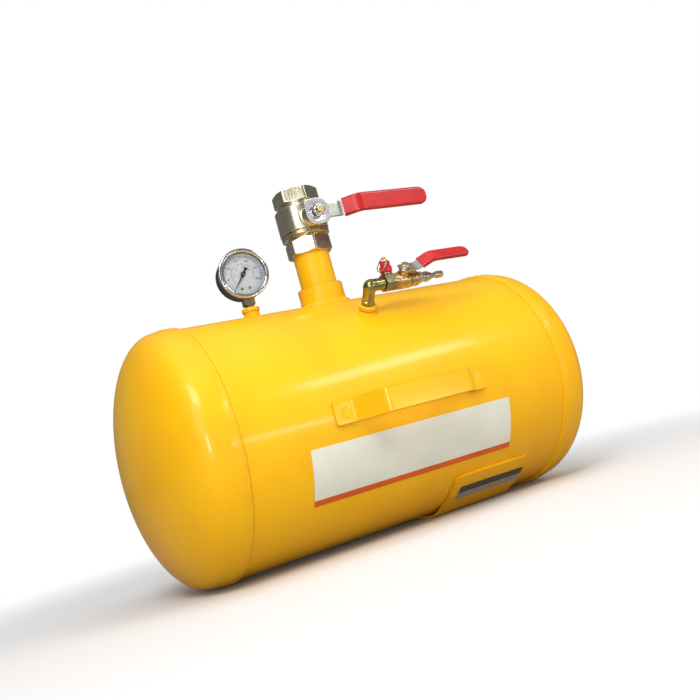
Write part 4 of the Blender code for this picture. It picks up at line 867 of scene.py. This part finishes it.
# %% Printed scale
FACE, GROWN = 5.1, 29.5 / 27.2
START, SWEEP = math.radians(-128), math.radians(256)


def around(share):
    """The angle from the dial's x at this share of the scale, clockwise from zero."""
    return -share * SWEEP + START


def mark(share, inner, outer, width):
    """A flat bar that points outwards."""
    path = [(inner * GROWN, 0.06), (outer * GROWN, 0.06)]
    return strip(dial.turned(around(share), FACE), path, width, 0.08, 0.01, 0.1, 20)


def scale_arc(radius, width):
    """A flat rectangle carried along the whole scale."""
    edge = np.array(block(-width / 2, width / 2, 0, 0.1))[None]
    way = circle(around(np.linspace(0, 1, 90)))[:, None]
    local = way * (radius * GROWN + edge[..., :1]) + (FACE + 0.01 + edge[..., 1:]) * (0, 0, 1)
    return Grid(end_capped(dial.at(local)))


fine = [mark(i / 60, 21.2, 22.6, 0.22) for i in range(61)]
coarse = [mark(i / 12, 20.4, 22.8, 0.42) for i in range(13)]
piece("black_scale", fine + coarse + [scale_arc(22.9, 0.25)], INK)
red = [mark(i / 50, 12.6, 13.4, 0.18) for i in range(51)]
red += [mark(i / 10, 12, 13.6, 0.36) for i in range(11)]
piece("red_scale", red + [scale_arc(13.6, 0.22)], RED_INK, slot="dial_white")


def number(text, share, radius, size, finish, slot):
    """Raised figures that stand upright on the dial."""
    curve = bpy.data.curves.new("figures_" + text, "FONT")
    curve.body, curve.size, curve.extrude = text, size * MM, 0.04 * MM
    curve.align_x, curve.align_y = "CENTER", "CENTER"
    guide = bpy.data.objects.new("guide", curve)
    mesh = bpy.data.meshes.new_from_object(guide)
    bpy.data.objects.remove(guide)
    mesh.name = "figures_%s_%d" % (text, radius * GROWN * 10)
    middle = dial.at(radius * GROWN * circle(around(share)) + (0, 0, FACE + 0.05))
    mesh.transform(Place(middle, dial.axes[0], dial.axes[2]).matrix())
    mesh.materials.clear()
    add_piece(mesh, finish, "tank", slot)


for i in range(7):
    number(str(i * 50), i / 6, 17.6, 3.7, INK, "pointer_black")
for i in range(1, 5):
    number(str(i * 5), i / 5, 9.8, 2.6, RED_INK, "dial_white")

# %% [markdown]
# The pointer has a wedge for a tail, which balances it.

# %% Pointer
def hand_width(u, s):
    """Straight lines between the widths given for places along the hand."""
    return np.interp(u, [-10, -6, -4.6, -3, 0, 3, 4.6, 21.2], [6.2, 2.4, 2.2, 4.6, 6, 4.6, 1.9, 0.5])


hand = strip(dial.turned(START, 0), [(-10, 8), (21.2, 8)], hand_width, 0.6, 0.1, 0.1, 0.4)
piece("gauge_hand", hand, INK, "gauge_pointer", body="gauge_pointer")
hub = [(0, 9.9), (1.2, 9.9), (1.6, 9.4), (1.6, 8.4), (0, 8.4)]
piece("gauge_hub", lathe(dial, hub, 48, radius=0.2), TIP, body="gauge_pointer", slot="fitting_brass")

# %% [markdown]
# ## Fill line
#
# An elbow, a tee with the safety valve, a small ball valve and a quick-connect plug are
# screwed together, so each has its own axis.

# %% Elbow and tee
elbow = Place((fill_boss.origin[0], *line.origin[1:]), RIGHT, outward)
tee_low, tee_high = 16.5, 32.5
bend, far = along([(0, -24), (0, 0), (tee_low - elbow.origin[0] / MM - 0.4, 0)], 2.2, 0.6)
ends = np.minimum(far, far[-1] - far)
thick = 7.4 + 0.6 * (ends < 4.2) + 0.7 * np.exp(-((far - far[-1] * 0.55) / 6) ** 2)
thick = thick - 0.6 * np.clip(1 - ends / 0.6, 0, 1)
elbow_body = tube(elbow, np.stack([bend[:, 0], 0 * far, bend[:, 1]], -1), thick, 40, (0, 1, 0))
threads = lathe(elbow, block(0, 6.2, -33, -23), 64, threads=[(-32.5, -23.5, 0.6, 1.4)])
arm = lathe(line, block(0, 6.2, tee_low - 2, tee_low + 5.2), 48)
piece("elbow_fitting", [elbow_body, threads, arm], OLIVE, "fill_elbow", slot="fitting_brass")
tee = [(6.6, tee_low), (9.4, tee_low), (11.9, tee_low + 1.1), (11.9, tee_high - 1.1), (9.4, tee_high),
       (6.6, tee_high)]
tee_body = lathe(line, tee, radius=0.3, bars=[(tee_low - 0.1, tee_high + 0.1, 20.5, 6, math.radians(-30))])
neck = lathe(safety, block(5.3, 7.1, 3, 10.5), 64)
piece("tee_fitting", [tee_body, neck], AGED, "fill_tee", slot="fitting_brass")

# %% [markdown]
# The small ball valve has the big one's parts in a row of bare brass.

# %% Small ball valve
valve_low, split, valve_end = 32.8, 54, 67
shape = [(3.6, 27.3), (6.2, 27.3), (6.2, valve_low), (8.8, valve_low), (9.6, 34), (9.6, 35.2), (10.4, 36.6),
         (10.5, 38), (10.5, split - 1), (9.5, split), (7.8, split), (7.8, 36.6), (3.6, 36.6)]
small_boss = [(3.6, 14.5), (6.4, 14.5), (6.4, 12), (7.2, 10.2), (8.6, 8.6), (3.6, 8.6)]
small_body = [lathe(line, shape, radius=0.4), lathe(fill_stem, small_boss, 64, radius=0.4)]
piece("fill_valve_shell", small_body, BRASS, "fill_valve_body")
tail = [(5, split + 0.3), (9.3, split + 0.3), (9.5, split + 1), (9.5, 60), (8.8, 60.6), (8.8, 61.6),
        (9.5, 62.2), (9.5, valve_end - 1.4), (8.2, valve_end), (5, valve_end)]
piece("fill_valve_tail", lathe(line, tail, radius=0.3), BRASS, "fill_valve_end")
spindle = [(0, 26.2), (2.4, 26.2), (2.4, 17.5), (3.2, 17.5), (3.2, 7.8), (0, 7.8)]
piece("fill_spindle", lathe(fill_stem, spindle, 48, threads=[(20.5, 25.8, 0.3, 0.8)]), TIP,
      "fill_valve_stem", body="fill_valve_lever")
small_gland = [(3.5, 17.5), (5.4, 17.5), (6.6, 16.9), (6.6, 14.8), (3.5, 14.8)]
piece("fill_gland_nut", lathe(fill_stem, small_gland, 72, radius=0.2, bars=[(14.7, 17.6, 11.5, 6, 0.3)]),
      BRASS, "fill_packing_nut")
small_nut = [(2.7, 24.8), (4.5, 24.8), (5.5, 24.1), (5.5, 20.6), (4.6, 20.1), (2.7, 20.1)]
piece("fill_lock_nut", lathe(fill_stem, small_nut, 72, radius=0.2, bars=[(20, 24.9, 9.5, 6, 0.7)]), STEEL,
      "fill_lever_nut", body="fill_valve_lever")

# %% [markdown]
# Its lever is cut square at the head and round at the tip, so two widths are combined.

# %% Small lever and its sleeve
small_start = fill_stem.local(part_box("fill_lever")[0])[0]
small_path = [(small_start, 18.8), (16, 18.8), (35, 31), (91, 31)]
head_corners, far_end = rounded_ends(14.5, 2.2, path_length(small_path, 5)), round_tip(17, 91)
small_lever = strip(fill_stem, small_path, lambda u, s: np.minimum(head_corners(u, s), far_end(u, s)),
                    2, 0.4, 5, 0.7)
piece("fill_lever_bar", small_lever, STEEL, "fill_lever", body="fill_valve_lever")
tip = fill_stem.local(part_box("fill_lever_sleeve")[1])[0]
grip_path = [(21.5, 22.3), (35, 31), (tip, 31)]
grip = strip(fill_stem, grip_path, round_tip(18.1, tip), 5.6, 2.6, 5, 0.6, puff=(0.5, 2.2))
piece("fill_lever_grip", grip, VINYL, "fill_lever_sleeve", body="fill_valve_lever")

# %% [markdown]
# The plug is turned steel with a groove that a hose coupling's balls drop into.

# %% Quick-connect plug
plug = [(2.2, 60.3), (4.7, 60.3), (4.7, 67.3), (6.2, 67.3), (7.8, 68.1), (7.8, 72.7), (6.4, 73.4),
        (6.2, 74.7), (4.8, 75.7), (4.8, 77.7), (6.6, 78.2), (6.6, 82.6), (5, 83.2), (5, 87), (3.4, 87.8),
        (3.4, 95), (4.5, 96.5), (4.5, 105), (3.8, 106.3), (2.2, 106.3)]
piece("air_plug", lathe(line, plug, radius=0.4, bars=[(67.4, 73.5, 13.5, 6, 0.26)]), STEEL,
      "quick_plug")

# %% [markdown]
# ## Safety valve
#
# A spring holds a small poppet shut under a red cap. Pulling the split ring lets air out.
# The ring is a wire of two turns, so its path is a flat helix.

# %% Safety valve and its ring
seat = [(2, 7.9), (5, 7.9), (5, 10.8), (7, 10.8), (7.2, 11.1), (7.2, 12.3), (5.8, 12.6), (5.8, 16.5),
        (2, 16.5)]
piece("safety_seat", lathe(safety, seat, 72, radius=0.3), BRASS, "safety_body")
cap_shape = [(6.2, 12.8), (7.4, 12.8), (7.8, 13.3), (7.8, 19), (7.2, 19.7), (6.2, 20.4), (6.1, 25.8),
             (5.3, 26.8), (1.7, 26.8), (1.7, 24.5), (4.6, 24.5), (4.6, 16.8), (6.2, 16.8)]
piece("safety_hood", lathe(safety, cap_shape, 168, radius=0.4, flutes=[(13, 19.2, 0.5, 28)]), CAP,
      "safety_cap", slot="red_vinyl")
t = np.linspace(0, 4 * math.pi, 160)[:-1, None]
slant = math.radians(60)
across = np.array([-math.cos(slant), 0, -math.sin(slant)])
normal = np.array([math.sin(slant), 0, -math.cos(slant)])
coil = 9 * ((1 - np.cos(t)) * across + np.sin(t) * (0, 1, 0)) + 0.5 * (t / (2 * math.pi) - 1) * normal
piece("split_ring", tube(eye, coil, 0.52, 12, normal), STEEL, "pull_ring", body="pull_ring")

# %% [markdown]
# ## Pieces that stay as they are
#
# What is inside the valves and the gauge can hardly be seen. The solids serve there, with
# the finishes of the pieces round them.

# %% Finishes for the inner solids
inner = {CHROME: ("valve_ball", "fill_valve_ball"),
         SEAL: ("valve_seat_outer", "valve_seat_inner", "stem_packing", "fill_seat_left",
                "fill_seat_right"),
         BRASS: ("dial_screw_left", "dial_screw_right", "gauge_movement", "pointer_shaft",
                 "gauge_sector", "bourdon_tube", "safety_stem"),
         STEEL: ("safety_spring",)}
for finish, names in inner.items():
    for name in names:
        materials = frame["nodes"][name].data.materials
        materials.clear()
        materials.append(finish)

# %% [markdown]
# ## The studio
#
# A pale floor runs out into white, so only the object and its soft shadow show. A large
# light stands high at the left, small ones where the paint and the metals mirror them as
# spots and streaks, and three that are not mirrored fill the shade.

# %% Floor
def floor_finish():
    """Pale to the camera, white further out, and darker to everything else, so that it keeps the
    shadow but doesn't light the underside of the tank."""
    f = Finish("studio_floor", roughness=0.9, base_color=(0.84, 0.84, 0.84, 1))
    spot = f.add("VectorMath", {"operation": "LENGTH"}, {0: f.where((1, 1, 0))}, output="Value")
    far = spot.clamp(0.38, 1.05)
    seen = f.add("LightPath", output="Is Camera Ray")
    f.set(roughness=0.85 + f.noise(30, 3) * 0.1)
    dim = f.add("BsdfDiffuse", inputs={"Color": (0.42, 0.39, 0.34, 1)})
    white = f.add("Emission", inputs={"Color": (1, 1, 1, 1), "Strength": 1.0})
    near = f.add("MixShader", inputs={0: seen, 1: dim, 2: Value(f, f.shader.outputs[0])})
    f.show(far * seen, near, white)
    return f.material


ground = bpy.data.meshes.new("studio_floor")
ground.from_pydata([(-30, -30, -0.0005), (30, -30, -0.0005), (30, 30, -0.0005), (-30, 30, -0.0005)],
                   [], [(0, 1, 2, 3)])
ground.materials.append(floor_finish())
add_object("studio_floor", ground)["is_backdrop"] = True

# %% Lights
aim = tank.origin + [0, 0, 0.05]


def soft_light(name, x, y, z, size, watts, mirrored=True):
    """A flat light that stands this far from the aim and faces it. A light that isn't mirrored
    lights the object but isn't seen in it."""
    data = bpy.data.lights.new(name, "AREA")
    data.shape, data.size, data.size_y, data.energy = "RECTANGLE", *size, watts
    made = add_object(name, data)
    made.location = aim + (x, y, z)
    made.rotation_euler = Vector((-x, -y, -z)).to_track_quat("-Z", "Y").to_euler()
    made.visible_glossy = mirrored
    made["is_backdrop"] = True


soft_light("key_light", -1.2, -1.65, 1.8, (1.2, 0.8), 32)
soft_light("left_card", -1.9, -1.6, 0.85, (1.0, 0.8), 6)
soft_light("window_light", -1.4, -2.0, 0.12, (0.26, 0.45), 13)
soft_light("streak_light", 1.4, -2.0, 1.45, (1.2, 0.34), 15)
soft_light("dim_card", 1.13, -2.0, 0.86, (1.0, 0.5), 0.8)
soft_light("low_strip", 0.75, -2.0, -0.06, (1.1, 0.06), 4.5)
soft_light("front_light", -0.6, -2.2, 0.1, (1.4, 1.0), 3, False)
soft_light("top_light", 0.0, -0.7, 2.1, (1.8, 1.4), 17, False)
soft_light("side_light", 2.0, -1.0, 0.8, (1.0, 1.2), 3, False)

# %% [markdown]
# The room is white to the camera. Reflections see it grey, dark below and bright above.

# %% Surroundings
world = bpy.data.worlds.new("studio")
bpy.context.scene.world = world
room = Nodes(world)
way = room.add("TexCoord", output="Generated")
height = room.add("SeparateXYZ", inputs={0: way}, output="Z")
shades = ((0.0, 0.06), (0.40, 0.20), (0.50, 0.28), (0.58, 0.24), (0.72, 0.14), (0.90, 0.36), (1.0, 1.0))
stops = [(place, (shade, shade, shade * 1.02, 1)) for place, shade in shades]
grey = room.add("ValToRGB", {"stops": stops}, {0: height * 0.5 + 0.5})
seen = room.add("LightPath", output="Is Camera Ray")
dim = room.add("Background", inputs={0: grey, 1: 0.8})
white = room.add("Background", inputs={0: (1, 1, 1, 1)})
room.show(seen, dim, white, "World Output")
bpy.context.scene.view_settings.view_transform = "Standard"

# %% [markdown]
# ## The camera
#
# The viewer stands low and a little to the left, looks slightly up, and holds the camera
# tilted, so the tank runs up to the right.

# %% Camera
heading, pitch, roll = (math.radians(value) for value in (30.17, 6.35, 15.53))
ahead = np.array([math.sin(heading) * math.cos(pitch), math.cos(heading) * math.cos(pitch),
                  math.sin(pitch)])
viewer = tank.origin + 0.15 * np.array([-3.56344, -6.31177, -0.24342])
lens = bpy.data.cameras.new("camera")
lens.lens, lens.sensor_width, lens.clip_start = 42.66, 36, 0.01
camera = add_object("camera", lens)
camera.matrix_world = Place(viewer, np.cross(ahead, UP), -ahead).turned(-roll, 0).matrix()
bpy.context.scene.camera = camera

# %% [markdown]
# ## The sizes
#
# The dressed object must stay inside the box of the solids.

# %% Sizes
seen_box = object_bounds()
boxes = {"cad": [list(corner) for corner in cad_box], "visual": [list(corner) for corner in seen_box]}
for label, box in boxes.items():
    print(label, [[round(value, 4) for value in corner] for corner in box])
